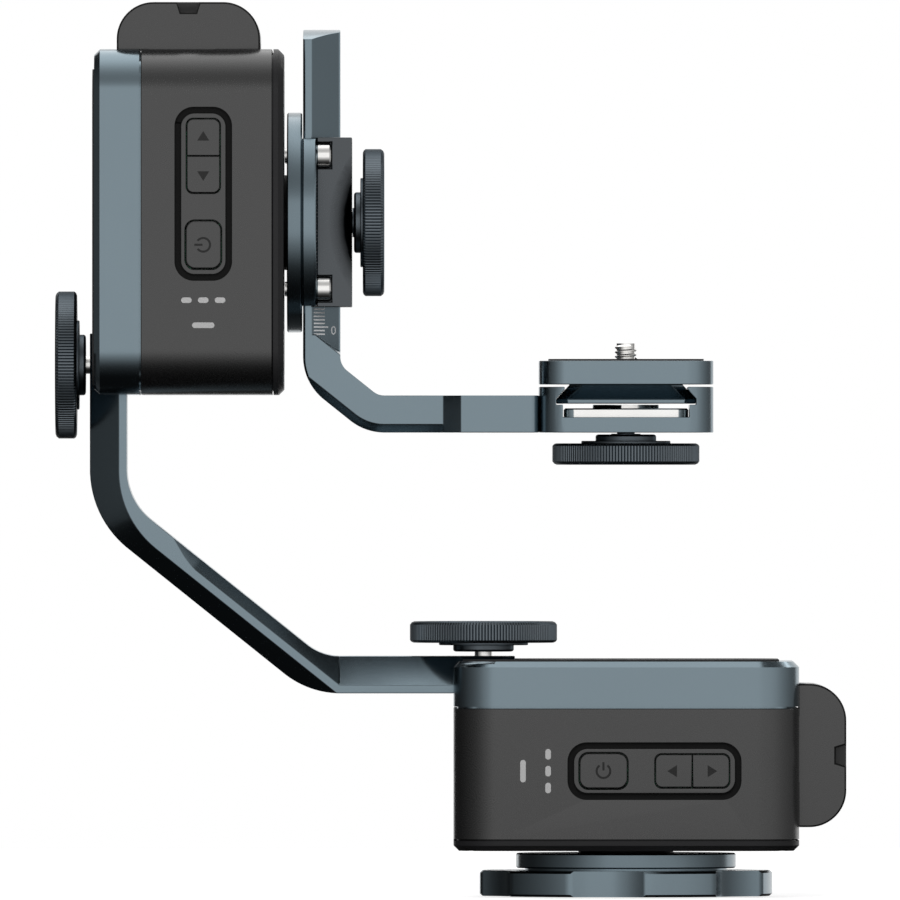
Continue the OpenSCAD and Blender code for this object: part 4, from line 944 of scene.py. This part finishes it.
# Cards that only reflections see. Each has a name, the middle of its near end, its turn and width in
# metres, and its brightness as (distance, level) pairs from the near end towards the back
FACING_RIGHT = (0, radians(90), 0)
FACING_LEFT = (0, radians(-90), 0)
LEVEL = (0, 0, 0)
CARDS = (
    ("card_left", (-0.45, -1.2, 0.35), FACING_RIGHT, 1, (
        (0, 1), (0.67, 0.6), (0.86, 0.37), (1, 0.23), (1.12, 0.15), (1.24, 0.08), (1.39, 0.04),
        (2.1, 0.04))),
    ("card_right", (0.38, -1.2, 0.35), FACING_LEFT, 1, (
        (0, 1), (0.83, 0.85), (0.98, 0.72), (1.07, 0.56), (1.18, 0.4), (1.29, 0.27), (1.4, 0.22),
        (1.5, 0.3))),
    ("card_below", (-0.035, -1.2, -0.05), LEVEL, 0.83, (
        (0, 1), (0.4, 0.8), (0.75, 0.45), (0.88, 0.22), (0.96, 0.09), (1.03, 0.04), (1.1, 0.012),
        (1.24, 0.01), (1.33, 0.04), (1.7, 0.12))),
    ("card_above", (-0.15, -1, 0.62), LEVEL, 0.6, (
        (0, 0.9), (0.2, 0.68), (0.45, 0.5), (0.6, 0.48), (0.74, 0.6), (0.85, 0.9), (0.95, 1.3),
        (1.05, 1.6), (1.6, 2))),
    ("card_corner", (0.265, -1, 0.62), LEVEL, 0.23, (
        (0, 0.9), (0.6, 0.3), (0.9, 0.14), (1.6, 0.14))),
)

# Places and sizes of the lamps and the floor, in metres
FRONT_LAMP = (-0.25, -2.2, 1.25)
FRONT_LAMP_SIZE = (1.4, 1.4)
RIM_LAMP = (0.7, 1.3, 1.5)
RIM_LAMP_SIZE = (0.9, 0.6)
FLOOR_SIZE = (2.4, 2.4)
FLOOR_PLACE = (0, 0, -0.0004)
FLOOR_COLOUR = (0.8, 0.8, 0.8, 1)
FLOOR_GLOW = 0.8
WHITE = (1, 1, 1, 1)

# The camera's sensor in mm and its reach in metres
SENSOR_WIDTH = 36
CAMERA_REACH = 200


class HEAD_OT_stage(bpy.types.Operator):
    """Floor, reflection cards, lamps, surroundings and camera"""

    bl_idname = "pan_head.stage"
    bl_label = "Stage"
    bl_options = {"REGISTER", "UNDO"}

    def execute(self, context):
        scene = context.scene
        settings = scene.head_stage
        scene.view_settings.view_transform = "Standard"
        self.surroundings(scene, settings)
        self.floor()
        for card in CARDS:
            self.card(*card)
        target = Vector((settings.centre_x, 0, settings.centre_z))
        front = self.lamp("front_lamp", FRONT_LAMP, target, settings.key, FRONT_LAMP_SIZE)
        front.visible_glossy = False
        self.lamp("rim_lamp", RIM_LAMP, target, settings.rim, RIM_LAMP_SIZE)
        self.camera(scene, settings)
        return {"FINISHED"}

    def camera(self, scene, settings):
        data = bpy.data.cameras.new("camera")
        data.sensor_width = SENSOR_WIDTH
        data.lens = SENSOR_WIDTH * settings.distance / settings.width
        data.clip_end = CAMERA_REACH
        camera = bpy.data.objects.new("camera", data)
        camera.location = (settings.centre_x, -settings.distance, settings.centre_z)
        camera.rotation_euler = (radians(90), 0, 0)
        scene.collection.objects.link(camera)
        scene.camera = camera

    def lamp(self, name, place, target, power, size):
        data = bpy.data.lights.new(name, "AREA")
        data.shape = "RECTANGLE"
        data.size, data.size_y = size
        data.energy = power
        made = bpy.data.objects.new(name, data)
        made.location = place
        made.rotation_euler = (target - Vector(place)).to_track_quat("-Z", "Y").to_euler()
        made.visible_camera = False
        bpy.context.scene.collection.objects.link(made)
        return made

    def plane(self, name, size, place, turn):
        bm = bmesh.new()
        bmesh.ops.create_grid(bm, x_segments=1, y_segments=1, size=0.5)
        bmesh.ops.scale(bm, vec=(*size, 1), verts=bm.verts)
        mesh = bpy.data.meshes.new(name)
        bm.to_mesh(mesh)
        bm.free()
        made = bpy.data.objects.new(name, mesh)
        made.location = place
        made.rotation_euler = turn
        bpy.context.scene.collection.objects.link(made)
        return made

    def card(self, name, near, turn, width, levels):
        """Adds one of the cards, as a plane whose glow follows its levels"""
        length = levels[-1][0]
        peak = max(level for _, level in levels)
        made = self.plane(name, (width, length), Vector(near) + Vector((0, length / 2, 0)), turn)
        f = Finish(name, (0, 0, 0), 1, Specular_IOR_Level=0, Emission_Strength=peak)
        along = f.node("ShaderNodeSeparateXYZ", {}, {0: f.place}, "Y") / length + 0.5
        stops = [(distance / length, level / peak) for distance, level in levels]
        f.set("Emission Color", f.node("ShaderNodeValToRGB", {"stops": stops}, {0: along}))
        made.data.materials.append(f.material)
        made.visible_camera = False
        made.visible_diffuse = False
        made.visible_shadow = False
        made.visible_transmission = False

    def floor(self):
        """Pale floor that glows for the camera alone, so that only the shadow on it shows"""
        made = self.plane("floor", FLOOR_SIZE, FLOOR_PLACE, LEVEL)
        pale = bpy.data.materials.new("floor")
        pale.use_nodes = True
        tree = pale.node_tree
        shader = tree.nodes["Principled BSDF"]
        shader.inputs["Base Color"].default_value = FLOOR_COLOUR
        shader.inputs["Roughness"].default_value = 0.9
        shader.inputs["Specular IOR Level"].default_value = 0.1
        shader.inputs["Emission Color"].default_value = WHITE
        path = tree.nodes.new("ShaderNodeLightPath")
        lift = tree.nodes.new("ShaderNodeMath")
        lift.operation = "MULTIPLY"
        lift.inputs[1].default_value = FLOOR_GLOW
        tree.links.new(path.outputs["Is Camera Ray"], lift.inputs[0])
        tree.links.new(lift.outputs[0], shader.inputs["Emission Strength"])
        made.data.materials.append(pale)
        made.visible_glossy = False

    def surroundings(self, scene, settings):
        """White for the camera and in reflections, and the weaker fill on dull surfaces"""
        world = bpy.data.worlds.new("surroundings")
        scene.world = world
        world.use_nodes = True
        tree = world.node_tree
        background = tree.nodes["Background"]
        background.inputs["Color"].default_value = WHITE
        path = tree.nodes.new("ShaderNodeLightPath")
        total = path.outputs["Is Camera Ray"]
        for ray in ("Is Glossy Ray", "Is Transmission Ray"):
            either = tree.nodes.new("ShaderNodeMath")
            either.operation = "MAXIMUM"
            tree.links.new(total, either.inputs[0])
            tree.links.new(path.outputs[ray], either.inputs[1])
            total = either.outputs[0]
        strength = tree.nodes.new("ShaderNodeMath")
        strength.operation = "MULTIPLY_ADD"
        strength.inputs[1].default_value = 1 - settings.fill
        strength.inputs[2].default_value = settings.fill
        tree.links.new(total, strength.inputs[0])
        tree.links.new(strength.outputs[0], background.inputs["Strength"])


class HEAD_PT_panel(bpy.types.Panel):
    """Lists the steps that dress the head"""

    bl_idname = "HEAD_PT_panel"
    bl_label = "Pan Head"
    bl_space_type = "VIEW_3D"
    bl_region_type = "UI"
    bl_category = "Pan Head"

    def draw(self, context):
        for operator in OPERATORS:
            self.layout.operator(operator.bl_idname)


OPERATORS = (
    HEAD_OT_foot, HEAD_OT_shells, HEAD_OT_controls, HEAD_OT_arms, HEAD_OT_knobs, HEAD_OT_tilt_clamp,
    HEAD_OT_quick_release, HEAD_OT_screws, HEAD_OT_drive_train, HEAD_OT_stage,
)
CLASSES = (HeadFinishSettings, HeadDetailSettings, HeadStageSettings) + OPERATORS + (HEAD_PT_panel,)


def register():
    for cls in CLASSES:
        bpy.utils.register_class(cls)
    bpy.types.Scene.head_finishes = bpy.props.PointerProperty(type=HeadFinishSettings)
    bpy.types.Scene.head_details = bpy.props.PointerProperty(type=HeadDetailSettings)
    bpy.types.Scene.head_stage = bpy.props.PointerProperty(type=HeadStageSettings)


def unregister():
    for name in ("head_finishes", "head_details", "head_stage"):
        delattr(bpy.types.Scene, name)
    for cls in reversed(CLASSES):
        bpy.utils.unregister_class(cls)


def main():
    register()
    make_finishes(bpy.context.scene.head_finishes)
    bpy.ops.pan_head.foot()
    bpy.ops.pan_head.shells()
    bpy.ops.pan_head.controls()
    bpy.ops.pan_head.arms()
    bpy.ops.pan_head.knobs()
    bpy.ops.pan_head.tilt_clamp()
    bpy.ops.pan_head.quick_release()
    bpy.ops.pan_head.screws()
    bpy.ops.pan_head.drive_train()
    bpy.ops.pan_head.stage()


if __name__ == "__main__":
    main()
